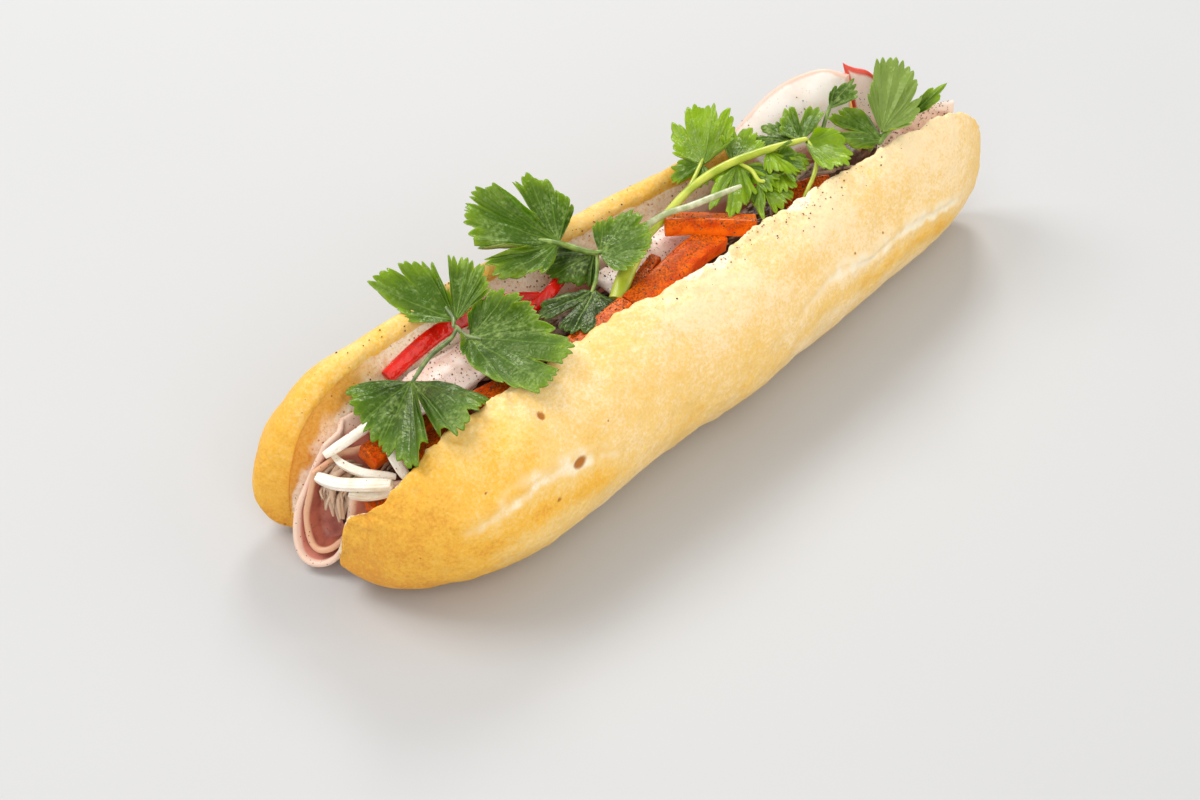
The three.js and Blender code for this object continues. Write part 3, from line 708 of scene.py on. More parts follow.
@dataclass(frozen=True)
class LeafFinish(Finish):
    """Fresh coriander leaf: thin, soft, paler veins and underside, a light sheen, with patches of painted
    sheen in its colour.
    """

    deep: str = "#1B3204"
    green: str = "#3C5C08"
    bright: str = "#82A20C"
    vein: str = "#64822A"
    under: str = "#7B9046"
    # colour of the painted sheen patches
    bloom: str = "#7F964E"

    kept = ("tint", "vein", "under")
    relief = (("quilt", 0.5, 0.45), ("fine", 0.35, 0.4))

    def patterns(self) -> dict[str, Pattern]:
        """Clouds in the green, a fine grain, patches of painted sheen, and the quilting between the veins."""
        return {
            "cloud": Pattern(6, {"Detail": 4.0}),
            "fine": Pattern(1.3, {"Detail": 3.0}),
            "sheen_patch": Pattern(9, {"Detail": 2.0}),
            "quilt": Pattern(1.7, {"feature": "DISTANCE_TO_EDGE"}, "TexVoronoi"),
        }

    def paint(self, tree: Tree, reads: Reads) -> Reads:
        """Deep to bright green by each leaf's kept tint, brighter toward the margin as painted light through
        the thin edge, veins paler, pale patches of painted sheen, the underside greyer.

        Args:
            tree: the material's node tree.
            reads: the outputs of the patterns and the kept values.

        Returns:
            The colour, by the shader's input.
        """
        settings: Settings = {"operation": "MULTIPLY_ADD", 1: 0.5}
        tint = node(tree, "Math", settings, {0: reads["cloud"], 2: reads["tint"]}).outputs[0]
        blade = blend(tree, tint, self.deep, self.green, (0.05, 0.55))
        blade = blend(tree, tint, blade, self.bright, (0.5, 1.25))
        blade = blend(tree, reads["vein"], blade, self.vein, (0.1, 1.4))
        # Painted sheen: pale patches where the two noises are both high.
        waxy = node(tree, "Math", {"operation": "MULTIPLY"}, {0: reads["sheen_patch"], 1: reads["fine"]}).outputs[0]
        blade = blend(tree, waxy, blade, self.bloom, (0.22, 0.5))
        return {"Base Color": blend(tree, reads["under"], blade, self.under, (0.0, 1.35))}


@dataclass(frozen=True)
class PlainFinish(Finish):
    """One tone with a little mottling, for stalks, pepper and the floor."""

    low: str = "#7F9440"
    high: str = "#C2CC62"
    grain_mm: float = 3.0

    relief = (("cloud", 0.3, 0.1),)

    def patterns(self) -> dict[str, Pattern]:
        """The mottling."""
        return {"cloud": Pattern(self.grain_mm, {"Detail": 4.0})}

    def paint(self, tree: Tree, reads: Reads) -> Reads:
        """Low to high colour by the mottling."""
        return {"Base Color": blend(tree, reads["cloud"], self.low, self.high, (0.35, 0.65))}


def place_piece(name: str, shape: Shape, finish: Finish, replaces: Sequence[str] = ()) -> None:
    """Makes a piece of the sandwich: its mesh in metres in the part's frame, its finish and its ride.

    Args:
        name: the piece's name.
        shape: its closed shape, in the roll's frame.
        finish: its material.
        replaces: the solids that it stands for.
    """
    mesh = bpy.data.meshes.new(name)
    mesh.vertices.add(len(shape.points))
    mesh.vertices.foreach_set("co", ((shape.points - FOOT_MIDDLE) * MM).astype(np.float32).ravel())
    corners = np.concatenate([block.ravel() for block in shape.faces]).astype(np.int32)
    sizes = np.concatenate([np.full(len(block), block.shape[1]) for block in shape.faces])
    mesh.loops.add(len(corners))
    mesh.loops.foreach_set("vertex_index", corners)
    mesh.polygons.add(len(sizes))
    mesh.polygons.foreach_set("loop_start", (np.cumsum(sizes) - sizes).astype(np.int32))
    mesh.polygons.foreach_set("use_smooth", np.ones(len(sizes), bool))
    mesh.update(calc_edges=True)
    mesh.validate()
    for key, values in shape.values.items():
        mesh.attributes.new(key, "FLOAT", "POINT").data.foreach_set("value", values.astype(np.float32))
    piece = bpy.data.objects.new(name, mesh)
    bpy.context.scene.collection.objects.link(piece)
    mesh.materials.append(finish.build())
    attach(piece, "root")
    if replaces:
        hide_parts(*replaces)
    LOG.info("%s: %d triangles", name, len(shape.triangles()))


# ---------------------------------------------------------------- the roll
@dataclass
class HalfRoll:
    """One half of the roll: a D in section, with a crust outside and a cut face inside."""

    name: str
    side: int  # -1 in front, 1 behind
    ends: tuple[float, float]  # x of both tips
    tip_lengths: tuple[float, float]  # how far in their rounding reaches
    centre_y: Curve  # middle of the crust's arc
    outer_y: Curve  # where the arc is widest
    rim_y: Curve
    rim_z: Curve
    hinge_y: Curve  # where the cut face meets the hinge
    lip: tuple[float, float]  # how far the crust rolls over at the top: inwards and down
    foot_lift: float  # how high the tips stand off the surface
    tip_rim: float  # height of the rim at the tips, as a share of its height
    lean: float  # how far the first tip slants outwards behind the rim, for each millimetre
    bluntness: tuple[float, float]  # power and root of the rounding seen from above
    bake: Curve  # how golden the crust is along the roll
    toast: Curve  # how far the oven browned the crumb by the rim
    flaky: Curve  # height of the crumbly lumps on the crust by the rim
    tear: float = 1.0  # how much crumb shows in a line along the rim
    seed: int = 1
    slash_z: Curve | None = None  # height of the baker's slash
    slash_depth: Curve | None = None
    stations: int = 420
    crust_steps: int = 112
    lip_steps: int = 9
    face_steps: int = 54
    foot_steps: int = 22
    patches: tuple[tuple[float, float, float], ...] = ()  # torn rim: x, half length and reach down
    pits: tuple[tuple[float, float, float], ...] = ()  # burst bubbles in the crust: x, z and radius

    def shares(self, x: Array, power: float, root: float) -> Array:
        """Share of full size at x, from both blunt tips, with the tips' power and root."""
        first = blunt(x - self.ends[0], self.tip_lengths[0], power, root)
        return first * blunt(self.ends[1] - x, self.tip_lengths[1], power, root)

    def heights(self, x: Array) -> tuple[Array, Array]:
        """Heights of the foot and of the rim at x."""
        foot = self.foot_lift * (1 - self.shares(x, 2.4, 2.0))
        return foot, self.rim_z(x) * mix(self.tip_rim, 1, self.shares(x, 2.5, 2.8))

    def face_y(self, x: Array, z: Array) -> Array:
        """The cut face: from the hinge up to the rim, by the height's power 0.85.

        Args:
            x: place along the roll.
            z: height.

        Returns:
            The face's y at each x and z.
        """
        foot, rim = self.heights(x)
        low = foot + HINGE_THICKNESS
        t = np.clip((z - low) / np.maximum(1, rim - low), 0, 1)
        return mix(self.hinge_y(x), self.rim_y(x), t**0.85)

    def rings(self) -> tuple[Array, Array]:
        """The plain form: for each station a closed ring of crust arc, cut face and flat foot.

        The crust is an arc about a centre at 0.49 of the height, stretched to reach from the foot
        to the top, and then a quarter of an ellipse over to the rim.

        Returns:
            The ring points, and the number of each ring's place (crust, then face, then foot).
        """
        t = np.linspace(0, 1, self.stations)
        u = 0.75 * np.sin(np.pi * (t - 0.5)) + 0.25 * (2 * t - 1)
        x = mix(self.ends[0], self.ends[1], (u + 1) / 2)[:, None]
        foot, rim = self.heights(x)
        height = np.maximum(0.5, rim - foot)
        rim_y, hinge, k = self.rim_y(x), self.hinge_y(x), self.shares(x, *self.bluntness)
        base = mix((rim_y + hinge) / 2, self.centre_y(x), k)
        bulge = np.maximum(0.6, np.abs(self.outer_y(x) - self.centre_y(x)) * k)
        over, drop = (size * np.maximum(0.05, k) for size in self.lip)
        centre_z = foot + 0.49 * height
        top_angle = np.arccos(np.clip((self.side * (rim_y - base) + over) / bulge, 0.05, 0.8))
        s = np.linspace(0, 1, self.crust_steps)[None]
        angle = mix(-np.pi / 2, top_angle, s)
        rough = 1 + 0.018 * waver(x, 3 * angle + self.side) * np.sin(np.pi * s)
        reach = np.where(angle < 0, centre_z - foot, (rim + drop - centre_z) / np.sin(top_angle))
        arc_y = base + self.side * bulge * np.cos(angle) * rough
        arc_z = centre_z + reach * np.sin(angle)
        arc_y[:, -1:], arc_z[:, -1:] = rim_y + self.side * over, rim + drop
        bend = np.linspace(0, np.pi / 2, self.lip_steps + 1)[None, 1:]
        crust_y = np.concatenate([arc_y, rim_y + self.side * over * (1 - np.sin(bend))], axis=1)
        crust_z = np.concatenate([arc_z, rim + drop * np.cos(bend)], axis=1)
        low = np.minimum(foot + HINGE_THICKNESS, foot + 0.5 * height)
        face_z = mix(rim, low, np.linspace(0, 1, self.face_steps)[None, 1:])
        face_y = self.face_y(x, face_z)
        down = np.linspace(0, 1, self.foot_steps // 2 + 1)[None, 1:]
        side_y, side_z = hinge + 0 * down, mix(low, foot, down)
        flat_y = mix(hinge, base, down[:, :-1])
        ys = np.concatenate([crust_y, face_y, side_y, flat_y], axis=1)
        zs = np.concatenate([crust_z, face_z, side_z, foot + 0 * flat_y], axis=1)
        tip = blunt(x - self.ends[0], self.tip_lengths[0], 2, 2)
        xs = x - self.lean * (1 - tip) * np.maximum(0, ys - rim_y)
        counts = (crust_y.shape[1], self.face_steps - 1, side_y.shape[1] + flat_y.shape[1])
        kinds = np.repeat([0, 1, 2], counts)
        return np.stack([xs, ys, zs], -1), kinds

    def slash_marks(self, rings: Array, crust: Array, noise: Noise) -> tuple[Array, Array, Array]:
        """The baker's slash: a wandering, broken line with a ridge over it and a browner band below.

        Args:
            rings: the plain form.
            crust: which places of a ring are crust.
            noise: the half's own noise.

        Returns:
            How floury, how much browner and how much higher the crust is at each point.
        """
        x, z = rings[..., 0], rings[..., 2]
        if self.slash_z is None or self.slash_depth is None:
            return np.zeros_like(x), np.zeros_like(x), np.zeros_like(x)
        along_x = rings * [1, 0, 0]
        off_line = z - (self.slash_z(x) + 0.9 * noise.at(along_x, 16) + 0.5 * noise.at(rings, 3.5))
        depth = self.slash_depth(x) * (1 + 0.3 * noise.at(along_x + 9, 9)) * crust
        broken = 0.9 + 0.5 * noise.at(rings + 13, 2.4) + 0.3 * noise.at(rings + 17, 7)
        floury = depth * broken * np.maximum(bell(off_line, 2.4), 0.6 * bell(off_line - 2.6, 3.0))
        ridge = 0.5 * bell(off_line - 3.2, 2.6) - 0.3 * bell(off_line + 4, 3) - 0.45 * bell(off_line, 1.4)
        return floury, depth * bell(off_line + 8, 4), depth * ridge

    def pit_marks(self, x: Array, z: Array) -> Array:
        """How far each point lies inside a burst bubble, which is 1.7 times as long as it is high."""
        away = [np.hypot((x - at_x) / 1.7, z - at_z) / radius for at_x, at_z, radius in self.pits]
        return smooth(1.4 - np.minimum.reduce(away)) if away else np.zeros_like(x)

    def torn_marks(self, x: Array, to_rim: Array, crust: Array, ragged: Array) -> Array:
        """How much crumb shows: in a line along the rim, and in each patch below it.

        Args:
            x: place along the roll.
            to_rim: distance from the rim, round the ring.
            crust: which places of a ring are crust.
            ragged: noise that makes the torn edge uneven.

        Returns:
            The share of crumb at each point.
        """
        torn = self.tear * smooth(0.7 - to_rim / 1.2 + 0.5 * ragged)
        for patch_x, half_length, reach in self.patches:
            around = np.hypot((x - patch_x) / half_length, to_rim / reach)
            torn = np.maximum(torn, smooth(1.5 - around + 0.4 * ragged) * crust)
        return torn

    def shape(self) -> Shape:
        """Gives the plain form its unevenness, slash, pits, torn rim and open crumb.

        Returns:
            The closed half, with the values that its finish reads.
        """
        rings, kinds = self.rings()
        noise = Noise(self.seed)
        crust, face = kinds == 0, kinds == 1
        wrapped = np.concatenate([rings[:, -1:], rings, rings[:, :1]], axis=1)
        normal = grid_normals(wrapped)[:, 1:-1]
        middle = rings.mean(axis=1, keepdims=True)
        normal *= np.sign(((rings - middle) * normal).sum(axis=(1, 2), keepdims=True))
        x, z = rings[..., 0], rings[..., 2]
        steps = np.linalg.norm(np.diff(rings, axis=1, append=rings[:, :1]), axis=-1)
        length = np.cumsum(steps, axis=1) - steps
        rim_at = length[:, self.crust_steps + self.lip_steps - 1][:, None]
        to_rim = np.abs(length - rim_at)
        foot = self.heights(x)[0]

        swell = 0.8 * noise.at(rings, 38) + 0.4 * noise.fractal(rings, 10, 2)
        fine = 0.2 * noise.at(rings + 5, 4.6) + 0.1 * noise.at(rings + 9, 2.2)
        floury, browner, ridge = self.slash_marks(rings, crust, noise)
        pit = self.pit_marks(x, z) * crust
        height = np.where(crust, (swell + fine) * smooth((z - foot) / 7), 0) + ridge - 0.5 * pit

        ragged = 0.7 * noise.at(rings * [1, 0.6, 0.6], 2.3) + noise.at(rings * [1, 0, 0] + 3, 5.5)
        torn = self.torn_marks(x, to_rim, crust, ragged)
        pore = smooth(1.2 - noise.nearest_seed(rings, 5) / 0.26) * face
        small_pore = smooth(1.2 - noise.nearest_seed(rings + 50, 2.2) / 0.34)
        pore = np.maximum(pore, 0.5 * small_pore * (face | (torn > 0.6)))
        inward = 0.8 * pore + 0.45 * np.abs(noise.at(rings + 20, 3.4))
        height = np.where(face, -inward * smooth(to_rim / 2), height - 0.5 * pore * torn)
        flakes = 0.6 * noise.at(rings + 30, 2.6) + 0.4 * np.abs(noise.at(rings + 40, 1.5))
        by_rim = self.flaky(x) * flakes * bell(to_rim, 9) - 0.5 * torn * np.abs(ragged)
        height = height + by_rim * crust

        points = rings + height[..., None] * normal
        points[..., 2] += (0.8 + 0.5 * self.flaky(x)) * ragged * bell(to_rim, 3) * (crust | face)
        points[..., 2] = np.maximum(points[..., 2], np.minimum(foot, 0.02))

        # More golden near the foot and paler toward the top: partly the crust's own bake, partly painted
        # shade low on the sides and a painted highlight on top.
        bake = self.bake(x) + 0.22 * smooth(1 - (z - foot) / 16) - 0.12 * smooth((z - 44) / 12)
        values = {
            "bake": bake + 0.15 * noise.at(rings, 26) + 0.4 * browner,
            "slash": floury,
            "pit": pit,
            "crumb": np.where(crust, torn, np.where(face, 1.0, 0.0)),
            "pore": pore,
            "toast": self.toast(x) * smooth(1.5 - to_rim / 9 + 0.5 * noise.at(rings + 2, 6)),
        }
        return loft(points, values)


@dataclass
class Roll:
    """The crusty roll: a tall front half and a back half that lies open, joined by the hinge."""

    finish: BreadFinish = BreadFinish("baked_wheat_crust_and_crumb", "bread", roughness=0.5, specular=0.35)

    def halves(self) -> tuple[HalfRoll, HalfRoll]:
        """Both halves with their real sizes.

        Returns:
            The front half and the back half.
        """
        front = HalfRoll(
            name="roll_front_half",
            side=-1,
            ends=(-142, 142),
            tip_lengths=(54, 36),
            centre_y=along((-142, -8), (142, -8)),
            outer_y=along(
                (-142, -40), (-100, -41), (-60, -39), (-25, -36.5), (10, -37.5), (45, -34.5), (80, -30),
                (142, -24),
            ),
            rim_y=along(
                (-142, 4), (-136, -8.5), (-100, -11), (-40, -11.5), (0, -16), (35, -13.5), (90, -14),
                (142, -15),
            ),
            rim_z=along((-142, 56.5), (-76, 57.5), (0, 58.5), (60, 56.5), (142, 53.5)),
            hinge_y=along((-142, 6.5), (-100, 8), (60, 7), (110, 2), (142, -12)),
            lip=(1.2, 0.5),
            foot_lift=12,
            tip_rim=0.36,
            lean=0,
            bluntness=(2.2, 1.8),
            bake=along(
                (-142, 0.88), (-124, 0.7), (-106, 0.43), (-80, 0.27), (-20, 0.24), (60, 0.1), (120, 0.09),
                (142, 0.24),
            ),
            toast=along((-142, 0.4), (142, 0.2)),
            flaky=along((-142, 1.3), (-95, 1.8), (-70, 0.9), (-10, 1.3), (60, 1.2), (142, 0.5)),
            seed=11,
            slash_z=along(
                (-120, 34.6), (-109, 38.9), (-95, 40.8), (-76, 39.4), (-54, 32), (0, 32), (30, 35.8),
                (43, 37.6), (68, 32.2), (90, 30.4), (110, 25.7), (125, 21),
            ),
            slash_depth=along(
                (-128, 0), (-118, 0.8), (-100, 1), (-75, 1), (-62, 0.35), (0, 0.12), (28, 0.45), (50, 0.7),
                (70, 1), (100, 1), (112, 0.8), (124, 0),
            ),
            patches=((4, 5, 4.5), (47, 7, 4), (-6, 4, 2.6)),
            tear=0.75,
            pits=((-79.7, 39.9, 1.9), (-84, 54, 0.9), (-114, 45, 0.4), (-92, 34, 0.7)),
        )
        back = HalfRoll(
            name="roll_back_half",
            side=1,
            ends=(-135, 137),
            tip_lengths=(36, 34),
            centre_y=along((-135, 37), (-110, 18), (-60, 13), (137, 8)),
            outer_y=along((-135, 55.5), (-110, 55), (-60, 53), (0, 45), (44, 41), (110, 33), (137, 30)),
            rim_y=along((-135, 37), (-100, 35.3), (-60, 36), (-10, 33), (44, 28), (100, 22), (137, 15)),
            rim_z=along((-135, 52.5), (-80, 51.8), (-40, 51), (-5, 49.6), (44, 48.2), (100, 43), (137, 40.5)),
            hinge_y=along((-135, 37), (-127, 20), (-118, 5), (-90, 3.5), (90, 3.5), (120, 8), (137, 16)),
            lip=(5, 3.5),
            foot_lift=3,
            tip_rim=0.14,
            lean=0.78,
            bluntness=(4, 4),
            bake=along((-135, 0.78), (-110, 0.68), (-80, 0.56), (0, 0.55), (40, 0.62), (137, 0.6)),
            toast=along(
                (-135, 1.2), (-112, 1.0), (-92, 0.4), (-60, 0.2), (-20, 0.25), (10, 0.42), (50, 0.45),
                (137, 0.35),
            ),
            flaky=along((-135, 0.5), (-100, 0.25), (137, 0.2)),
            tear=0.0,
            seed=23,
        )
        return front, back

    def build(self) -> list[Shape]:
        """Places both halves, which together stand for the roll's one solid.

        Returns:
            The shapes of the front half and the back half.
        """
        shapes = []
        for half in self.halves():
            shapes.append(half.shape())
            place_piece(half.name, shapes[-1], self.finish, ["bread"])
        return shapes


# ---------------------------------------------------------------- slices
@dataclass
class HamLiner:
    """A folded slice of ham that lines the pocket: a U that follows both cut faces."""

    name: str
    finish: SliceFinish
    inset: float
    start: Curve  # x of the free end, by the share of the way round the U
    end: float
    front_top: Curve
    back_top: Curve
    floor: Curve

    def surface(self, u: Array, v: Array, front: HalfRoll, back: HalfRoll) -> Array:
        """The middle surface: v runs from the front edge down, across and up the back.

        The height is the fold's floor plus a square of the way from it, and the y moves from the
        front cut face to the back one by a share that starts and ends slowly.

        Args:
            u: share of the way along the slice, from its free end.
            v: share of the way round the U.
            front: the roll's front half.
            back: the roll's back half.

        Returns:
            The point at each u and v.
        """
        x = mix(self.start(v), self.end, u)
        bottom = self.floor(x)
        top = np.where(v < 0.5, self.front_top(x), self.back_top(x))
        z = bottom + (top - bottom) * (2 * v - 1) ** 2
        end_front = 7 + 0.9 * self.inset - 0.9 * np.maximum(0, x - OPEN_END[0])
        at_front = np.maximum(front.face_y(x, z + 2) + self.inset, end_front)
        end_back = 31.5 - 0.9 * self.inset - 0.16 * np.maximum(0, z - 18)
        widened = end_back + 0.9 * np.maximum(0, x - OPEN_END[1])
        at_back = np.minimum(back.face_y(x, z) - 1.25 * self.inset, widened)
        s = np.clip(mix(v, 0.5 - 0.5 * np.cos(np.pi * v), 0.55), 0, 1)
        share = np.where(v < 0.5, 0.5 * (2 * s) ** 1.5, 1 - 0.5 * (2 - 2 * s) ** 1.5)
        y = (at_front + at_back) / 2 + np.maximum(HAM_FOLD, at_back - at_front) * (share - 0.5)
        return np.stack([x, y, z + 0.4 * waver(3 * x, 5 * v)], -1)

    def build(self, front: HalfRoll, back: HalfRoll) -> None:
        """Places the slice, with a slightly uneven face.

        Args:
            front: the roll's front half.
            back: the roll's back half.
        """
        u, v = np.meshgrid(edge_steps(150, 0.012), edge_steps(90, 0.02), indexing="ij")
        points = self.surface(u, v, front, back)
        noise = Noise(31)
        points = points + 0.3 * noise.at(points, 9)[..., None] * grid_normals(points)
        edge = np.minimum(u * (self.end - self.start(v)), 70 * np.minimum(v, 1 - v))
        place_piece(self.name, sheet(points, HAM_THICKNESS, {"edge_mm": edge}), self.finish, [self.name])


@dataclass
class Slice:
    """A slice of cold cut between a low edge and a high edge, each a smooth curve."""

    name: str
    finish: SliceFinish
    low: tuple[Point, ...]
    high: tuple[Point, ...]
    bow: float
    thickness: float = CUT_THICKNESS
    folds: float = 0.15  # height of the soft folds across it
    samples: int = 800

    def build(self) -> Shape:
        """Places the slice: straight from edge to edge, bowed up by a sine across and a slow ripple.

        Returns:
            Its shape.
        """
        u, v = edge_steps(90, 0.015)[:, None], edge_steps(40, 0.03)[None]
        at = np.linspace(0, 1, self.samples)
        lines = [spline(edge, self.samples) for edge in (self.low, self.high)]
        low, high = (np.stack([np.interp(u[:, 0], at, line[:, k]) for k in range(3)], -1) for line in lines)
        points = mix(low[:, None], high[:, None], v[..., None])
        points[..., 2] += self.bow * np.sin(np.pi * v) + 0.5 * np.sin(9 * u + 3 * v)
        noise = Noise(37)
        folds = self.folds * noise.at(points, (7, 22, 22)) + 0.12 * noise.at(points, 3.5)
        points = points + folds[..., None] * grid_normals(points)
        width = np.linalg.norm(high - low, axis=1)[:, None]
        length = np.linalg.norm(high[-1] - high[0])
        edge = np.minimum(width * np.minimum(v, 1 - v), length * np.minimum(u, 1 - u))
        shape = sheet(points, self.thickness, {"edge_mm": edge})
        place_piece(self.name, shape, self.finish, [self.name])
        return shape


# ---------------------------------------------------------------- sticks
class Cut(Enum):
    """How a stick was cut, as the power of its section's superellipse."""

    SQUARE = 9.0
    SOFT = 3.6
    ROUND = 2.0


@dataclass
class Stick:
    """A stick, strip or stalk along a smooth curve through a few stations."""

    name: str
    stations: tuple[Point, ...]
    width: float
    height: float
    cut: Cut = Cut.SQUARE
    flat: float = 0.0  # turn of the section about the curve, in degrees from level
    taper: float = 0.0  # share by which both ends narrow
    ribs: float = 0.12  # depth of the knife's marks along it
    seed: int = 5
    rows: int = 110
    columns: int = 48

    def shape(self) -> Shape:
        """Builds the stick: superellipse sections, square ends with a small bevel, and knife marks.

        Returns:
            The closed stick, with the values that the finishes of sticks read.
        """
        line = spline(self.stations)
        length = np.linalg.norm(np.diff(line, axis=0), axis=1).sum()
        bevel = min(0.5, 0.2 * min(self.width, self.height))
        cap_at = np.array([0, 0, 0, 0.0, 0.12, 0.45, 1.0]) * bevel / length
        cap_size = np.array([0.06, 0.4, 0.75, 0.9, 0.96, 0.985, 1.0])
        body = np.linspace(bevel / length, 1 - bevel / length, self.rows)[1:-1]
        at = np.concatenate([cap_at, body, 1 - cap_at[::-1]])
        size = np.concatenate([cap_size, np.ones(len(body)), cap_size[::-1]])
        centre = resample(line, at)
        ahead, behind = (resample(line, np.clip(at + step, 0, 1)) for step in (2e-3, -2e-3))
        ahead = ahead - behind
        ahead /= np.linalg.norm(ahead, axis=1, keepdims=True)
        across = np.cross([0, 0, 1], ahead)
        across /= np.linalg.norm(across, axis=1, keepdims=True)
        rise = np.cross(ahead, across)
        cos, sin = math.cos(math.radians(self.flat)), math.sin(math.radians(self.flat))
        across, rise = across * cos + rise * sin, rise * cos - across * sin
        size = size * (1 - self.taper * np.abs(2 * at - 1) ** 4)
        angle = np.linspace(0, 2 * np.pi, self.columns, endpoint=False) + np.pi / self.columns
        power = 2 / self.cut.value
        # Equal steps of the angle crowd at the flat sides, so the corner gets its own share.
        squash = angle + (0 if self.cut is Cut.ROUND else -0.2) * np.sin(4 * angle)
        side = np.sign(np.cos(squash)) * np.abs(np.cos(squash)) ** power * self.width / 2
        up = np.sign(np.sin(squash)) * np.abs(np.sin(squash)) ** power * self.height / 2
        noise = Noise(self.seed)
        on_skin = np.stack(np.broadcast_arrays(at[:, None] * length, 6 * side, 6 * up), -1)
        marks = noise.at(on_skin, (14, 3, 3))
        drift = 0.05 * noise.at(np.stack([at * length, 0 * at, 0 * at], -1), 9)[:, None]
        swell = 1 + self.ribs * marks / max(self.width, self.height) * 2
        offset = (size[:, None] * swell * (1 + drift))[..., None]
        out = across[:, None] * side[:, None] + rise[:, None] * up[:, None]
        upward = (out / np.linalg.norm(out, axis=-1, keepdims=True))[..., 2]
        inner = np.broadcast_to(up < -0.3 * self.height, upward.shape)
        return loft(centre[:, None] + offset * out, {"top": np.clip(upward, 0, 1), "inner": inner * 1.0})


# ---------------------------------------------------------------- coriander
@dataclass
class Leaf:
    """A leaf that fans out from its foot; each lobe lists the tips of its points."""

    at: Point
    lobes: tuple[tuple[Point, ...], ...]
    phase: float = 0.0
    tint: float = 0.3  # 0 deep green, 1 bright yellow-green
    flanks: tuple[float, float] = (25.0, 25.0)  # degrees that it goes on past its first and last tip
    cleft: float = 0.5  # how deep the narrow clefts between two lobes go, as a share of the reach
    cleft_mm: float = 1.9  # half of a cleft's width at the margin
    notch: float = 0.13  # how deep the notches between the tips of one lobe go
    turned: bool = False  # whether its paler underside is up
    frill: float = 1.0  # how wavy the margin is

    def margin(self, spoke: Array, length: Array, tip_lift: Array) -> tuple[Array, Array, Array]:
        """The outline: how far the blade reaches at each angle, and how high it stands there.

        The reach runs straight from tip to tip, cut by a narrow cleft between lobes and a notch
        inside a lobe, and scalloped by teeth. Past the first and last tip it draws in.

        Args:
            spoke: angle of each tip.
            length: reach of each tip.
            tip_lift: height of each tip over the leaf's plane.

        Returns:
            The angles, and the reach and the lift at each.
        """
        size = length.max()
        lobe_of = np.repeat(np.arange(len(self.lobes)), [len(lobe) for lobe in self.lobes])
        flanks = np.radians(self.flanks)
        rays = int(np.clip(13 * size, 150, 440))
        angle = np.linspace(spoke[0] - flanks[0], spoke[-1] + flanks[1], rays)
        i = np.clip(np.searchsorted(spoke, angle) - 1, 0, len(spoke) - 2)
        m = np.clip((angle - spoke[i]) / (spoke[i + 1] - spoke[i]), 0, 1)
        past = np.clip(np.maximum((spoke[0] - angle) / flanks[0], (angle - spoke[-1]) / flanks[1]), 0, 1)
        near_mid = 1 - np.abs(2 * m - 1)
        arc = (spoke[i + 1] - spoke[i]) * np.minimum(length[i], length[i + 1])
        off_mid = np.abs(m - 0.5) * arc
        notch = self.notch * np.clip(1 - off_mid / 1.3, 0, 1) * np.clip(arc / 7, 0, 1) - 0.035 * near_mid
        cleft = 0.06 * near_mid**1.5 + self.cleft * np.clip(1 - off_mid / self.cleft_mm, 0, 1) ** 0.55
        reach = mix(length[i], length[i + 1], m) * (1 - np.where(lobe_of[i] == lobe_of[i + 1], notch, cleft))
        reach = reach * (1 - 0.72 * past**2.4)

        tooth_mm = mix(1.7, 2.3, size / 40)  # a large leaf has larger teeth
        flank_teeth = np.round(0.8 * flanks.mean() * length[0] / tooth_mm)
        tooth = np.where(past > 0, past * flank_teeth, m * np.maximum(1, np.round(arc / tooth_mm)))
        scallop = np.abs(2 * ((tooth + 0.5) % 1) - 1) ** 1.9
        uneven = 1 + 0.35 * np.sin(2.7 * np.floor(tooth + 0.5) + 5 * i + self.phase)
        deeper = 1 + 0.9 * (0.5 + 0.5 * np.cos(2 * np.pi * (tooth - 0.5) / 3)) ** 2
        reach = reach + (0.4 - scallop * deeper) * np.minimum(0.16 * reach, 0.56 * tooth_mm) * uneven
        lift = mix(tip_lift[i], tip_lift[i + 1], m) * (1 - 0.6 * past)
        return angle, reach, lift + 0.05 * size * np.sin(np.pi * m) * (past == 0)

    def waves(self, angle: Array, share: Array, size: float, spoke: Array) -> Array:
        """The height that the blade's own bending adds, in millimetres.

        It is a slow wave, a ripple that grows toward the margin, a cup in each lobe, a tilt of each
        lobe, and a curl down at the tips.

        Args:
            angle: angle of each ray.
            share: share of the way out along a ray.
            size: reach of the longest tip.
            spoke: angle of each tip.

        Returns:
            The height at each angle and share.
        """
        turn = angle[:, None]
        firsts = np.cumsum([0, *(len(lobe) for lobe in self.lobes)])
        middles = np.array([spoke[a:b].mean() for a, b in zip(firsts, firsts[1:])])
        borders = (middles[1:] + middles[:-1]) / 2
        lobe = np.searchsorted(borders, angle)
        widths = np.diff(np.concatenate([angle[:1], borders, angle[-1:]]))
        camber = 0.22 * share**1.6 * ((angle - middles[lobe]) / widths[lobe])[:, None] ** 2
        tilt = 0.05 * share * np.sin(2.3 * lobe + 1.9 * self.phase)[:, None]
        slow = 0.05 * share**2 * np.sin(3 * turn + self.phase)
        ripple = 0.016 * share**3 * np.sin(11 * turn + 2 * self.phase)
        ripple = ripple + 0.01 * share**4 * np.sin(26 * turn + 3 * self.phase)
        curl = 0.05 * share**3 * (1 + 0.8 * np.sin(2 * turn + 1.7 * self.phase))
        return size * (slow + self.frill * ripple + tilt - camber - curl)

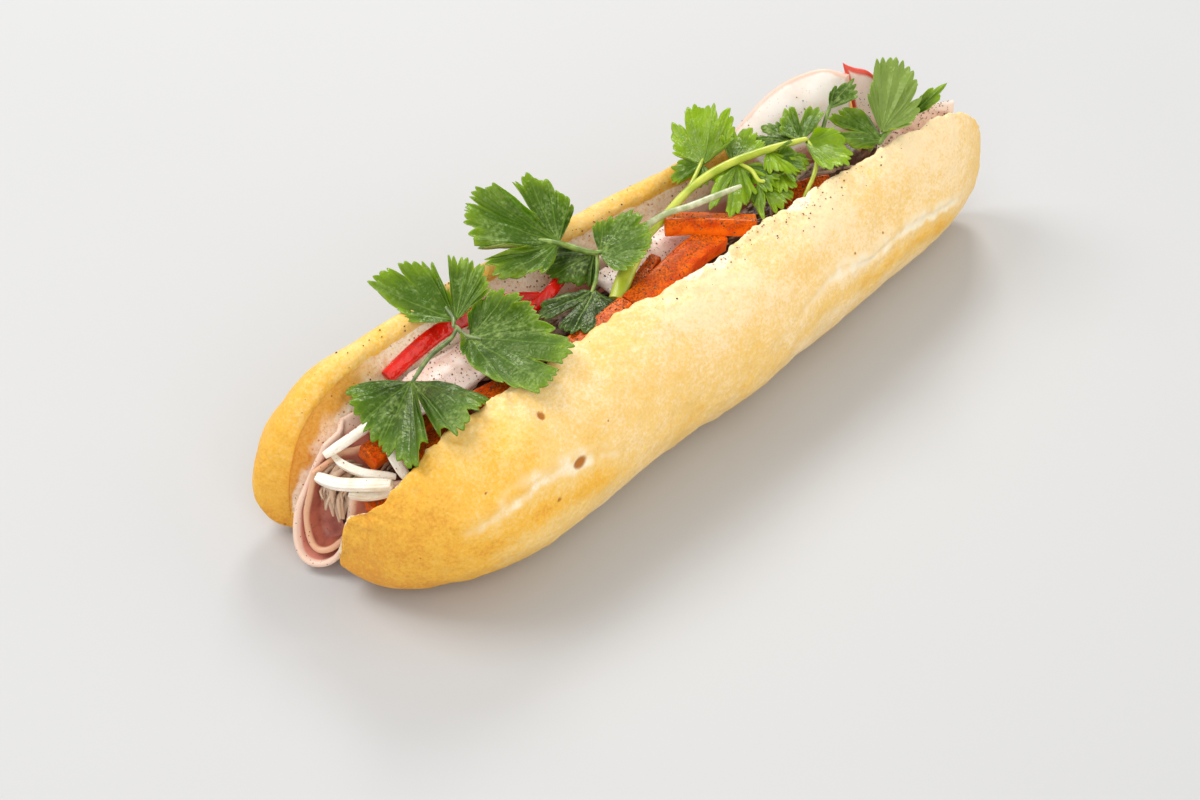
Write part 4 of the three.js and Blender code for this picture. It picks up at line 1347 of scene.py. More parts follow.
    def veins(self, angle: Array, share: Array, r: Array, spoke: Array) -> tuple[Array, Array]:
        """The veins: one down the middle of every point, with bent side veins that leave it in rows.

        Args:
            angle: angle of each ray.
            share: share of the way out along a ray.
            r: distance from the foot.
            spoke: angle of each tip.

        Returns:
            How pale the vein is and how deep it is sunk, at each angle and share.
        """
        nearest = np.minimum(np.abs(angle[:, None] - spoke).min(-1), 1.5)[:, None]
        off_vein, along_vein = r * np.sin(nearest), r * np.cos(nearest)
        main_vein = bell(off_vein, 0.05 + 0.3 * (1 - 0.6 * share)) * (share < 0.98)
        bent = along_vein - 1.3 * off_vein + 0.05 * off_vein**2
        branch = np.abs(bent / SIDE_VEIN_GAP % 1 - 0.5) * SIDE_VEIN_GAP
        side_vein = 0.6 * bell(branch, 0.28) * smooth(off_vein / 0.8)
        sunk = 0.35 * bell(off_vein, 0.7) * smooth(share / 0.2) + 0.25 * side_vein
        return np.maximum(main_vein, side_vein), sunk

    def shape(self) -> Shape:
        """The blade as a polar surface about the foot, closed by its underside.

        Its plane is the one that the tips fan out in. Its height over that is the tips' lift by a
        power of the share, the waves, a fine pucker, and a dip along every vein.

        Returns:
            The closed blade, with the values that its finish reads.
        """
        foot = np.array(self.at, float)
        tips = np.array([tip for lobe in self.lobes for tip in lobe], float) - foot
        face = np.cross(tips[:-1], tips[1:]).sum(0)
        face /= np.linalg.norm(face)
        up = math.copysign(1, face[2])
        axis = tips.sum(0)
        axis -= face * (axis @ face)
        axis /= np.linalg.norm(axis)
        across = np.cross(face, axis)
        spoke = np.arctan2(tips @ across, tips @ axis)
        length = np.hypot(tips @ axis, tips @ across)
        size = length.max()
        angle, reach, lift = self.margin(spoke, length, tips @ face)

        rays, steps = len(angle), int(np.clip(0.8 * size, 12, 26))
        share = np.append(np.linspace(0, 1, steps)[:-1], [0.985, 1.0])[None]
        turn, r = angle[:, None], share * reach[:, None]
        vein, sunk = self.veins(angle, share, r, spoke)
        toward = np.cos(turn)[..., None] * axis + np.sin(turn)[..., None] * across
        flat = foot - 0.6 * axis + r[..., None] * toward
        pucker = (0.8 * Noise(61).fractal(flat, 8, 2) + 0.35 * Noise(62).at(flat, 3)) * smooth(2 * share)
        rise = lift[:, None] * share**1.15 + self.waves(angle, share, size, spoke) + pucker
        points = flat + (rise - up * sunk * (0.3 if self.turned else 1))[..., None] * face
        half = (LEAF_THICKNESS / 2 * np.sqrt(np.clip((1 - share) * reach[:, None] / 0.5, 0, 1)))[..., None]
        upper, lower = points + half * face, (points - half * face)[1:-1, 1:-1]

        # Both sides share their rim and the point at the foot, so that the blade is closed.
        top = np.zeros((rays, steps + 1), int)
        top[:, 1:] = 1 + np.arange(rays * steps).reshape(rays, steps)
        bottom = top.copy()
        bottom[1:-1, 1:-1] = 1 + rays * steps + np.arange(lower[..., 0].size).reshape(lower.shape[:2])
        fans = [np.stack([side[:-1, 0], side[:-1, 1], side[1:, 1]], -1) for side in (top, bottom)]
        faces = [np.concatenate([fans[0][:, ::-1], fans[1]])]
        faces.append(np.concatenate([grid_faces(top[:, 1:]), grid_faces(bottom[:, 1:])[:, ::-1]]))
        shown = (up < 0) != self.turned
        under = np.append(np.full(1 + rays * steps, 1.0 * shown), np.full(lower[..., 0].size, 1.0 - shown))
        # Brighter toward the margin: painted light shining through the thin edge, over each leaf's own tint.
        tint = np.broadcast_to(self.tint + 0.6 * (share**3.5 - 0.25), r.shape)
        vein[0, 0] = 1.0
        kept = {
            key: np.concatenate([v[:1, 0], v[:, 1:].reshape(-1), v[1:-1, 1:-1].reshape(-1)])
            for key, v in (("vein", vein), ("tint", tint))
        }
        everything = np.concatenate([upper[:1, 0], upper[:, 1:].reshape(-1, 3), lower.reshape(-1, 3)])
        return Shape(everything, faces, {**kept, "under": under}).outward()


@dataclass
class Sprig:
    """A sprig of coriander: its leaves and the stalks that carry them."""

    name: str
    leaves: tuple[Leaf, ...]
    stalks: dict[PlainFinish, tuple[Stick, ...]]
    leaf_finish: LeafFinish = LeafFinish(
        "coriander_leaf",
        "coriander",
        roughness=0.33,
        specular=0.5,
        shine="#E4F0B0",
        soft_light=0.2,
        soft_depth_mm=1.2,
        soft_tint=(0.5, 1.0, 0.15),
    )

    def build(self) -> None:
        """Places the leaves as one piece, and the stalks as one for each finish."""
        leaves = joined([leaf.shape() for leaf in self.leaves])
        place_piece(self.name + "_blades", leaves, self.leaf_finish, [self.name])
        for finish, stalks in self.stalks.items():
            shape = joined([stalk.shape() for stalk in stalks])
            place_piece(f"{self.name}_{finish.name}", shape, finish, [self.name])


# ---------------------------------------------------------------- shredded pork
@dataclass
class Pork:
    """Shredded pork: a packed core down the pocket, and loose strands where it shows."""

    finish: FibreFinish = FibreFinish("moist_pork_fibres", "pork", roughness=0.42, soft_light=0.1)
    top: Curve = along(
        (-132, 22), (-122, 30), (-105, 35), (-88, 40), (-40, 41), (60, 41), (100, 42), (122, 38)
    )
    strands: int = 170
    end_strands: int = 34

    def bounds(self, x: Array, z: Array, front: HalfRoll, back: HalfRoll) -> tuple[Array, Array]:
        """Where the core's sides are: a gap off both cut faces, past the slices that line them.

        Args:
            x: place along the roll.
            z: height.
            front: the roll's front half.
            back: the roll's back half.

        Returns:
            The y of the core's front and of its back.
        """
        near = np.maximum(front.face_y(x, z + 2) + 9.2, 13.6 - 0.9 * np.maximum(0, x - OPEN_END[0]))
        far = np.minimum(back.face_y(x, z) - 10.4, 21.5 + 0.9 * np.maximum(0, x - OPEN_END[1]))
        return near, np.maximum(near + 2, far)

    def core(self, floor: Curve, front: HalfRoll, back: HalfRoll) -> Shape:
        """The core: at each station an oblong ring between both cut faces, rough with fibres.

        Args:
            floor: height of the slice that it lies on, along the roll.
            front: the roll's front half.
            back: the roll's back half.

        Returns:
            The closed core, with its tone.
        """
        t = np.linspace(0, 1, 300)[:, None]
        x = mix(-130, 120, 0.5 - 0.2 * np.cos(np.pi * t) + 0.6 * (t - 0.5))
        k = np.linspace(0, 1, 120, endpoint=False)[None]
        low = floor(x) + 2.4
        z = mix(low, self.top(x) + 1.2 * waver(7 * x, 9 * k), 0.5 - 0.5 * np.cos(2 * np.pi * k))
        near, far = self.bounds(x, z, front, back)
        side = np.sign(np.sin(2 * np.pi * k)) * np.abs(np.sin(2 * np.pi * k)) ** 0.6
        points = np.stack([x + 0 * k, mix(near, far, 0.5 + 0.5 * side), z], -1)
        noise = Noise(41)
        fibres = noise.at(points, (9, 1.6, 1.6)) + 0.6 * noise.at(points + 7, (4, 1.1, 2.5))
        outward = points - points.mean(axis=1, keepdims=True)
        outward /= np.maximum(np.linalg.norm(outward, axis=-1, keepdims=True), TINY)
        points = points + 0.7 * fibres[..., None] * outward
        # The core's tone is kept low: painted shade for the pocket it lies in.
        return loft(points, {"tone": 0.3 * fibres - 0.1})

    def build(self, floor: Curve, front: HalfRoll, back: HalfRoll) -> None:
        """Places the core and its strands as one piece: strands over its top, and more at its end.

        Args:
            floor: height of the slice that it lies on, along the roll.
            front: the roll's front half.
            back: the roll's back half.
        """
        draw = np.random.default_rng(7)
        shapes = [self.core(floor, front, back)]
        # Strands that lie over the heap, mostly along the roll, kept darker as painted shade of the pocket.
        for _ in range(self.strands):
            x = draw.uniform(-126, 112)
            z = float(self.top(x)) + draw.uniform(-1.5, 1.2)
            near, far = self.bounds(np.array(x), np.array(z), front, back)
            y = mix(float(near), float(far), draw.uniform(0.1, 0.9))
            reach, turn = draw.uniform(4, 9), draw.normal(0, 0.5)
            step = np.array([math.cos(turn), math.sin(turn), 0]) * reach
            middle = np.array([x, y, z])
            bend = draw.normal(0, 1.1, (2, 3)) * [1, 1, 0.5] - [0, 0, 0.8]
            stations = (middle - step + bend[0], middle, middle + step + bend[1])
            shapes.append(self.strand(stations, draw, (-0.1, 0.5)))
        # Strands that hang out of the heap's open end.
        for _ in range(self.end_strands):
            y, z = draw.uniform(12, 23), draw.uniform(26, 35)
            out = -131.5 - draw.uniform(0, 3.5)
            drop = draw.uniform(2, 8)
            tip = (out - 0.3 * drop, y - draw.uniform(0, 4), z - drop)
            stations = ((-121, y, z - 3), (-127, y, z), (out, y - draw.uniform(0, 2), z - 1), tip)
            shapes.append(self.strand(stations, draw, (0.3, 1.0)))
        place_piece("pork_shreds", joined(shapes), self.finish, ["shredded_pork"])

    def strand(
        self, stations: Sequence[Point], draw: np.random.Generator, tones: tuple[float, float]
    ) -> Shape:
        """One loose strand with a tone of its own.

        Args:
            stations: points that it runs through.
            draw: source of its width and tone.
            tones: its least and greatest tone.

        Returns:
            The closed strand.
        """
        width = draw.uniform(1.0, 2.2)
        section = {"width": width, "height": 0.65 * width, "cut": Cut.ROUND, "taper": 0.6}
        shape = Stick("strand", tuple(stations), **section, rows=16, columns=10).shape()
        shape.values["tone"] = np.full(len(shape.points), draw.uniform(*tones))
        return shape


# ---------------------------------------------------------------- ground pepper
Bed = tuple[Shape, int, Callable[[Array], Array] | None]  # shape, grains on it, and their weight by place


@dataclass
class Grains:
    """Loose grains: small uneven lumps that lie on the upward faces of other shapes."""

    name: str
    finish: PlainFinish
    sizes: tuple[float, float]
    seed: int

    def build(self, beds: Sequence[Bed], least_up: float = 0.35) -> None:
        """Places all of the grains as one piece.

        Args:
            beds: shapes to lie on, each with how many grains it gets and an optional weight by place.
            least_up: upward share of a face's normal that a grain still lies on.
        """
        draw = np.random.default_rng(self.seed)
        lump = self.lump()
        centres, normals = [], []
        for shape, count, weight in beds:
            a, b, c = np.moveaxis(shape.points[shape.triangles()], 1, 0)
            cross = np.cross(b - a, c - a)
            area = np.linalg.norm(cross, axis=1)
            up = cross / np.maximum(area, TINY)[:, None]
            chance = area * (up[:, 2] > least_up)
            if weight is not None:
                chance = chance * weight((a + b + c) / 3)
            picked = draw.choice(len(area), count, p=chance / chance.sum())
            r, s = draw.random((2, count, 1))
            r, s = np.where(r + s > 1, 1 - r, r), np.where(r + s > 1, 1 - s, s)
            centres.append(a[picked] + r * (b - a)[picked] + s * (c - a)[picked])
            normals.append(up[picked])
        centre, normal = np.concatenate(centres), np.concatenate(normals)
        count = len(centre)
        size = mix(self.sizes[0], self.sizes[1], draw.random(count) ** 2.2)
        turns, _ = np.linalg.qr(draw.normal(size=(count, 3, 3)))
        stretch = draw.uniform(0.6, 1.15, (count, 1, 3))
        uneven = draw.uniform(0.8, 1.15, (count, len(lump.points), 1))
        local = (lump.points[None] * stretch * uneven) @ turns
        points = centre[:, None] + 0.25 * (size[:, None] * normal)[:, None] + local * size[:, None, None] / 2
        faces = lump.faces[0][None] + len(lump.points) * np.arange(count)[:, None, None]
        flipped = np.linalg.det(turns) < 0
        faces[flipped] = faces[flipped][..., ::-1]
        place_piece(self.name, Shape(points.reshape(-1, 3), [faces.reshape(-1, 3)]), self.finish)

    @staticmethod
    def lump() -> Shape:
        """A regular solid of twenty triangles and unit radius, with its corners by the golden ratio.

        Returns:
            The solid, its faces outwards.
        """
        g = (1 + 5**0.5) / 2
        ring = [(-1, g, 0), (1, g, 0), (-1, -g, 0), (1, -g, 0), (0, -1, g), (0, 1, g)]
        ring += [(0, -1, -g), (0, 1, -g), (g, 0, -1), (g, 0, 1), (-g, 0, -1), (-g, 0, 1)]
        points = np.array(ring, float)
        near = np.linalg.norm(points[:, None] - points[None], axis=-1) < 2.01  # an edge is 2 long
        faces = []
        for a, b, c in itertools.combinations(range(12), 3):
            if near[a, b] and near[b, c] and near[a, c]:
                out = np.cross(points[b] - points[a], points[c] - points[a]) @ points[a] > 0
                faces.append((a, b, c) if out else (a, c, b))
        return Shape(points / np.linalg.norm(points[0]), [np.array(faces)])


# ---------------------------------------------------------------- the filling
HAM_PALE = SliceFinish(
    "moist_ham_pale_rim", "ham", 0.38, soft_light=0.15, flesh="#DE9482", shade="#C87866", rim="#EDCDB8"
)
HAM_DARK = SliceFinish(
    "moist_ham_tan_rim", "ham", 0.36, soft_light=0.15, flesh="#C0705A", shade="#98483A", rim="#E2B08C",
    rim_mm=1.8,
)
HAM_SLICE = SliceFinish(
    "smooth_ham_slice", "ham", 0.4, soft_light=0.15, flesh="#E6C8B6", shade="#C89E88", rim="#ECD6C6"
)
PALE_CUT = SliceFinish(
    "smooth_pork_roll", "cold_cut", 0.36, soft_light=0.15, flesh="#F4DDD0", shade="#DDB5A2", rim="#F4E2D6"
)
WHITE_CUT = SliceFinish(
    "white_pork_roll", "cold_cut", 0.38, soft_light=0.15, flesh="#FBF2E8", shade="#F4E4D6", rim="#EAC4B0",
    rim_mm=2.0, spots="#E8CDB8",
)
RED_CUT = SliceFinish(
    "red_edged_pork_roll", "cold_cut", 0.36, soft_light=0.15, flesh="#F1DCCF", shade="#E6C3B2",
    rim="#D8482F", rim_mm=2.2,
)
CARROT = RootFinish(
    "peppered_carrot", "carrot", 0.28, specular=0.35, shine="#FFA868", soft_light=0.15,
    flesh="#EE6A0C", shade="#D2440A", dust="#8A3A14", dust_share=0.28,
)
DAIKON = RootFinish(
    "pickled_daikon", "daikon", 0.28, soft_light=0.25, flesh="#F5EDDF", shade="#E9DBC2", dust="#D0A878"
)
CHILLI = ChilliFinish("red_chilli_skin", "chilli", 0.16, specular=0.7, shine="#FFD8CC", soft_light=0.1)
STALK = PlainFinish("thin_stalk", "coriander", 0.35, low="#56693A", high="#7C8F52")
FRESH_STALK = PlainFinish("fresh_stalk", "coriander", 0.35, low="#5F7A2A", high="#8EA64C")
THICK_STALK = PlainFinish(
    "thick_stalk", "coriander", 0.3, soft_light=0.2, low="#A2B228", high="#C4CC4C", grain_mm=7
)
PALE_STALK = PlainFinish("pale_stalk", "coriander", 0.32, low="#9AA470", high="#C9CBA6")
PEPPER = PlainFinish("ground_pepper", "pork", 0.7, low="#42281A", high="#A27850", grain_mm=0.9)


def carrots() -> list[Stick]:
    """The carrot sticks and batons, with their real sections.

    Returns:
        The sticks, from rows of name, stations, width, height and turn.
    """
    rows = [
        ("baton_front", ((-22, -4.2, 47.5), (-8, -3.6, 49), (8, -1.5, 50), (21, -1.5, 50.5)), 9, 6.5, 10),
        ("baton_across", ((10.5, 12, 54.5), (17, 5.5, 54.6), (24, -2.5, 54.6), (31, -9.5, 54)), 8, 6, -20),
        ("stick_thin", ((-52, -3.4, 48), (-38, -4.2, 49), (-24, -3.4, 50.2)), 5.5, 4.5, 0),
        ("stick_back", ((-15.5, 2, 48.2), (-7.5, 4.2, 48.6), (0.5, 6.4, 49.2)), 4, 3.4, 0),
        ("stick_left", ((-89, -1, 48), (-80, -3.4, 49), (-70, -5, 49.4)), 7, 5.5, 12),
        ("stick_end_1", ((-124, 11.5, 40), (-112, 11, 41), (-98, 11, 41)), 7.5, 6, 20),
        ("stick_end_2", ((-119.5, 7.6, 45.6), (-108, 4.6, 46.4), (-96, 3, 46.4)), 5.5, 4.5, 0),
        ("stick_end_3", ((-119, -2.6, 46), (-106, -3.6, 47), (-94, -3, 47.4)), 6, 4.6, 0),
        ("stick_right", ((54, -2, 47), (63, -4.5, 48), (70, -8, 48)), 6.5, 5, 15),
        ("stick_low", ((-131, 3.8, 28.8), (-124, 3.4, 29.4), (-114, 3, 30)), 4.6, 4, 0),
    ]
    return [
        Stick("carrot_" + name, line, width, height, flat=flat, seed=n)
        for n, (name, line, width, height, flat) in enumerate(rows, 50)
    ]


def daikons() -> list[Stick]:
    """The daikon strips, with their real sections.

    Returns:
        The strips, from rows of stations, width and height.
    """
    rows = [
        (((-104, 20, 46.5), (-116, 17, 46.5), (-125, 17, 46), (-134, 20, 42.5)), 3.4, 3),
        (((-130.5, 19.5, 40.4), (-131, 14.5, 40.2), (-128.5, 8, 39), (-122, 1, 37.6)), 2.6, 2.4),
        (((-137.5, 20, 36), (-136, 13, 36.6), (-132.5, 6, 38), (-128, -3.6, 41.5)), 4, 3.2),
        (((-120, 5.6, 45), (-121, 1, 42.4), (-121.6, -3.6, 39.6)), 3.4, 2.8),
        (((-134, 9.5, 33), (-131, 4, 33.8), (-126, -1, 35)), 2.8, 2.4),
    ]
    look = {"cut": Cut.SOFT, "flat": 25, "taper": 0.35, "ribs": 0.3}
    return [Stick(f"daikon_strip_{n}", *row, **look, seed=69 + n) for n, row in enumerate(rows, 1)]


def chillies() -> list[Stick]:
    """The two strips of red chilli.

    Returns:
        The long strip and the short one.
    """
    left = (
        (-98, 29.5, 46), (-86, 31.5, 46.4), (-72, 32.6, 47), (-57, 31.5, 46.6), (-46, 28, 46.4), (-37, 22, 46)
    )
    right = ((-45, 20, 46.4), (-34, 21, 47), (-24, 24, 47.4), (-14, 27, 47.6))
    look = {"cut": Cut.SOFT, "taper": 0.2, "ribs": 0.05}
    return [
        Stick("chilli_strip_left", left, 5.8, 2.4, flat=40, seed=81, rows=160, **look),
        Stick("chilli_strip_right", right, 4.2, 2.3, flat=34, seed=82, **look),
    ]


def slices() -> list[Slice]:
    """The slices of cold cut and the one of ham at the far end.

    Returns:
        The slices, each with its low edge, its high edge and its bow.
    """
    return [
        Slice(
            "cold_cut_left", PALE_CUT,
            ((-112, 10, 42), (-90, 9, 43.5), (-62, 11, 43)),
            ((-108, 27, 41.5), (-84, 28, 43), (-58, 27, 43.5)), 1.6, folds=1.1,
        ),
        Slice(
            "cold_cut_middle", PALE_CUT,
            ((-20, 2, 44), (0, 4.5, 45), (25, 4, 46)), ((-18, 18, 44), (2, 20, 46), (26, 17, 47)), 1.2,
            folds=0.7,
        ),
        Slice(
            "cold_cut_back", WHITE_CUT,
            ((62, 15, 45), (74, 14, 46), (88, 10, 47), (97, 6, 48)),
            ((61, 30, 52), (70, 30, 57), (80, 28.5, 62), (90, 24, 66), (97, 18.5, 68.4), (101, 11.5, 67.5)),
            1.4,
        ),
        Slice(
            "cold_cut_end", RED_CUT,
            ((98, 3.5, 47), (104, 0, 47), (110, -3, 47)), ((101.5, 15, 70), (106.5, 8, 67), (111.5, 2, 59)),
            0, 2.2,
        ),
        Slice(
            "ham_end", HAM_SLICE,
            ((92, -8.5, 44), (110, -9.5, 46), (129, -11.5, 47.5)),
            ((104, -1, 52.5), (118, -5.5, 54), (131, -10.5, 52)), -1.2, 2.2,
        ),
    ]


def stalk(
    stations: tuple[Point, ...], width: float, height: float | None = None, taper: float = 0.4
) -> Stick:
    """A round coriander stalk.

    Args:
        stations: points that it runs through.
        width: its width.
        height: its height, where it isn't the same.
        taper: share by which both ends narrow.

    Returns:
        The stalk.
    """
    size = (width, height or width, Cut.ROUND)
    return Stick(
        "stalk", stations, *size, taper=taper, ribs=0.06, seed=len(stations), rows=90, columns=16
    )


def sprigs() -> list[Sprig]:
    """The coriander, from the end where the ham shows to the far end.

    Returns:
        The sprigs and the single leaf, each leaf by its foot and the tips of its lobes.
    """
    left = Sprig("coriander_sprig_left", (
        Leaf((-99, 17, 52), (
            ((-113, 31, 53), (-120, 18, 50), (-124, 6, 50), (-127, -14, 56), (-120.5, -12.5, 58.6)),
            ((-117.5, -14.4, 59.4), (-114, -18, 60.5), (-97, -12, 60)),
        ), tint=0.15),
        Leaf((-69, 28, 53.5), (
            ((-80, 41, 56), (-82, 54, 61), (-64, 47.4, 63), (-61.6, 45.6, 62.6)),
            ((-57, 43.4, 62.2), (-53, 39, 62), (-51.7, 33, 61), (-55, 28, 58)),
        ), phase=1, tint=0.35, flanks=(25, 20), cleft=0.6, cleft_mm=2.2),
        Leaf((-73, 17, 54.5), (
            ((-56, 17, 57), (-60, -1, 61), (-63, -19, 64)),
            ((-80, -24, 62), (-87, -11, 60), (-83, 7, 55)),
        ), phase=2, tint=0.25, flanks=(40, 15), cleft=0.22, cleft_mm=1.0),
    ), {STALK: (
        stalk(((-72, 24, 54), (-77, 22, 53.5), (-87, 21, 53), (-99, 17, 52)), 1.5),
        stalk(((-73, 25, 54), (-70, 28, 54), (-68, 34, 54.8)), 1.5),
        stalk(((-72, 25, 54), (-73.5, 19, 54.4), (-72.5, 13, 55.6)), 1.5),
    )})
    middle = Sprig("coriander_sprig_middle", (
        Leaf((-24, 27, 59), (
            ((-39, 24, 58), (-50, 28, 59), (-48.5, 36, 60.5)),
            ((-47.5, 39.5, 61.5), (-40, 53, 65), (-31, 57, 67), (-26.6, 53, 68)),
            ((-21.6, 50, 68.8), (-16, 49, 69.6), (-13.5, 42, 69.4), (-15, 31.5, 67.4)),
        ), phase=1, tint=0.3, cleft=0.55, cleft_mm=2.6),
        Leaf((-17, 14, 57.5), (
            ((-7, 22, 60), (2, 18, 63), (-1, 7, 61), (-15, 1, 57)),
        ), phase=3, tint=0.3, flanks=(25, 40)),
        Leaf((-18, 17, 56), (((-26, 34, 52), (-31, 24, 50.5), (-25, 13, 50)),), tint=0.0),
        Leaf((-27, 8, 51), (
            ((-31, 14, 52), (-48, 13, 51.5)), ((-48, -2, 52), (-27, -3, 50.5)),
        ), phase=2, tint=-0.3),
    ), {FRESH_STALK: (
        stalk(((-15.5, 14, 57), (-19, 17, 57.3), (-24, 26, 58.8), (-30, 34, 59.6)), 1.9),
        stalk(((-17, 16, 57), (-20, 13, 54.5), (-24, 10, 52), (-28, 8, 51)), 1.3),
    )})
    right = Sprig("coriander_sprig_right", (
        Leaf((40, 22, 58), (
            ((39, 34, 59), (46, 41, 61)),
            ((53, 40.5, 64), (59, 34.5, 66)),
            ((60, 28, 65), (53, 20.5, 62)),
        ), tint=0.75, frill=1.6, cleft=0.2, notch=0.08),
        Leaf((46, 14, 59.5), (
            ((54, 24, 61), (62, 20, 62), (60, 13, 60.5)),
        ), phase=2, tint=0.6, frill=1.5),
        Leaf((46, 12, 59.4), (
            ((34, 11, 59.5), (23, 3.5, 59.3)), ((24.5, -4, 59), (38.5, 0, 58.2)), ((50, 4, 57.8),),
        ), phase=1, tint=0.7, frill=3),
        Leaf((57, 8, 60.5), (
            ((50, 1, 58.8), (57, -5, 57.8)), ((66, -3, 58.8),),
        ), phase=4, tint=0.9, frill=3),
        Leaf((68, 4, 61.5), (((68, 13, 61), (75, 17, 62)), ((83, 10, 64),)), phase=5, tint=0.35, frill=2),
        Leaf((69, 2, 61), (((79, -4, 62), (75, -13, 60), (64, -14, 59)),), phase=3, tint=0.8, frill=3),
        Leaf((46, 2, 57.5), (
            ((40, -1, 55), (35, -9.5, 54)), ((41.5, -9.5, 54), (52, -7.5, 55)),
        ), phase=2, tint=0.6, frill=2),
        Leaf((53, -0.5, 57.5), (
            ((46.5, 1, 56.6), (47, -5.5, 56), (53.5, -7, 56.5)),
        ), phase=1, tint=1.0, frill=3),
        Leaf((48, 9.5, 58.6), (
            ((39, 7, 57.2), (38, 0, 56.2)), ((45, -4, 56.2), (52, -1, 57)),
        ), phase=6, tint=0.35, frill=3),
        Leaf((67, 5, 60.6), (
            ((57, 10, 60.2), (60, 17, 60.4)), ((66, 20, 61), (71, 15, 61)),
        ), phase=3, tint=0.1, frill=2),
        Leaf((39, 22, 58), (
            ((33, 28.5, 57.4), (27, 24, 56.8)), ((29, 17, 56.8), (35, 14, 57.2)),
        ), phase=5, tint=0.5, frill=3),
        Leaf((57.5, 5.2, 59.2), (
            ((63, 1.5, 58.8), (61, -6, 58)), ((53.5, -7, 57.6),),
        ), phase=2, tint=0.3, frill=3),
    ), {THICK_STALK: (
        stalk((
            (-8, 8.4, 53), (0, 11, 54.6), (13, 13, 57), (28, 15, 59), (42, 13.5, 60.5), (55, 9, 61.5),
            (70, 3, 61.5),
        ), 3, 2.6),
        stalk(((-22.6, 1.8, 48.4), (-16, 5, 51.2), (-8, 8.4, 53), (0, 11, 54.6)), 5.4, 3.2, 0),
        stalk(((24, 15, 58.4), (31, 18, 58.4), (41, 23, 58.4)), 1.4),
        stalk(((46, 12.5, 60), (47, 7, 59), (46, 2, 57.6), (53.5, -0.5, 57.4)), 1.4),
        stalk(((70, 2.5, 61), (67, -4, 59), (62, -7.4, 56.6), (54.5, -9.4, 51.8)), 1.5),
    ), PALE_STALK: (
        stalk((
            (-5, 10, 54.6), (1, 11.8, 58.2), (8.5, 10.2, 60.6), (17, 6.6, 61.3), (35.5, 1.3, 62),
        ), 2.5, 2.1),
    )})
    end = Sprig("coriander_sprig_end", (
        Leaf((92, -11, 60), (
            ((98.5, -0.5, 68), (105.5, 3.5, 75), (111, -0.5, 75), (111.5, -7.5, 73), (108, -12.5, 70)),
            ((107, -15, 67.5), (100, -18, 63.5)),
        ), phase=1, tint=0.6, flanks=(14, 20), cleft=0.08, notch=0.05, turned=True, frill=0.4),
        Leaf((103, -13.5, 61.5), (
            ((112, -15, 69), (116, -18.5, 71), (112.5, -18.5, 66.5)),
        ), phase=2, tint=0.5, flanks=(12, 12)),
        Leaf((90, -13, 58), (
            ((94, -2.5, 62), (89.5, 4.5, 63), (84, 6, 62)), ((79.5, 0.5, 60), (81, -7, 58)),
        ), phase=3, tint=0.4, flanks=(8, 12)),
    ), {FRESH_STALK: (
        stalk(((88, -13, 57.6), (92, -12.5, 59), (97, -12.5, 60.5), (105, -13.5, 62)), 1.6),
        stalk(((91, -7, 50), (91, -9, 55), (92, -12, 59.4)), 1.6),
    )})
    back = Sprig("coriander_leaf_back", (
        Leaf((85, 6, 65), (
            ((91, 8.5, 69), (96.5, 5.5, 71), (93, 1, 68)),
        ), phase=2, tint=0.1, flanks=(15, 20)),
    ), {FRESH_STALK: (
        stalk(((77, 3, 57), (81, 4.6, 62), (87, 6.8, 66)), 1.4),
    )})
    return [left, middle, right, end, back]


@dataclass
class Filling:
    """Everything in the pocket, from the ham that lines it to the coriander on top."""

    roll: Roll
    outer_floor: Curve = along((-145, 3.5), (-134, 4), (-122, 9.5), (-110, 12.5), (118, 12.5))
    inner_floor: Curve = along((-145, 7.5), (-134, 8), (-122, 13.5), (-110, 16.5), (70, 16.5))

    def liners(self) -> tuple[HamLiner, HamLiner]:
        """The two folded slices of ham.

        Returns:
            The outer one and the inner one.
        """
        outer = HamLiner(
            name="ham_outer",
            finish=HAM_PALE,
            inset=2.2,
            start=along((0, -134), (0.3, -138), (0.5, -143), (0.68, -143.5), (0.85, -139), (1, -129)),
            end=118,
            front_top=along((-145, 33), (-125, 34), (-100, 37), (118, 38)),
            back_top=along((-145, 36), (-132, 39.5), (-112, 43), (118, 42)),
            floor=self.outer_floor,
        )
        inner = HamLiner(
            name="ham_inner",
            finish=HAM_DARK,
            inset=5.6,
            start=along((0, -131), (0.25, -135), (0.5, -140), (0.75, -139.5), (1, -136)),
            end=70,
            front_top=along((-145, 20), (-125, 24), (-100, 30), (70, 32)),
            back_top=along((-145, 33), (-125, 36), (-100, 36), (70, 36)),
            floor=self.inner_floor,
        )
        return outer, inner

    def build(self, bread: Sequence[Shape]) -> None:
        """Places every filling, then the pepper ground over it and over the bread beside it.

        Args:
            bread: shapes of the roll's front and back half.
        """
        front, back = self.roll.halves()
        for liner in self.liners():
            liner.build(front, back)
        Pork().build(self.inner_floor, front, back)
        beds: list[Bed] = [
            (bread[0], 230, lambda p: bell(p[:, 0] - 40, 45) * smooth((p[:, 1] + 24) / 8) * (p[:, 2] > 52)),
            (bread[1], 420, lambda p: smooth((44 - p[:, 1]) / 8) * smooth((p[:, 2] - 36) / 4)),
        ]
        for cut in slices():
            if cut.name in ("cold_cut_back", "cold_cut_end"):  # these stand up, and their tops are clean
                beds.append((cut.build(), 110, lambda p: smooth((64 - p[:, 2]) / 12)))
            else:
                beds.append((cut.build(), 330, None))
        kinds = ((carrots(), CARROT, 150), (daikons(), DAIKON, 5), (chillies(), CHILLI, 14))
        for sticks, finish, count in kinds:
            for each in sticks:
                shape = each.shape()
                place_piece(each.name, shape, finish, [each.name])
                beds.append((shape, count, None))
        for sprig in sprigs():
            sprig.build()
        Grains("pepper_over_filling", PEPPER, (0.16, 0.75), seed=3).build(beds)


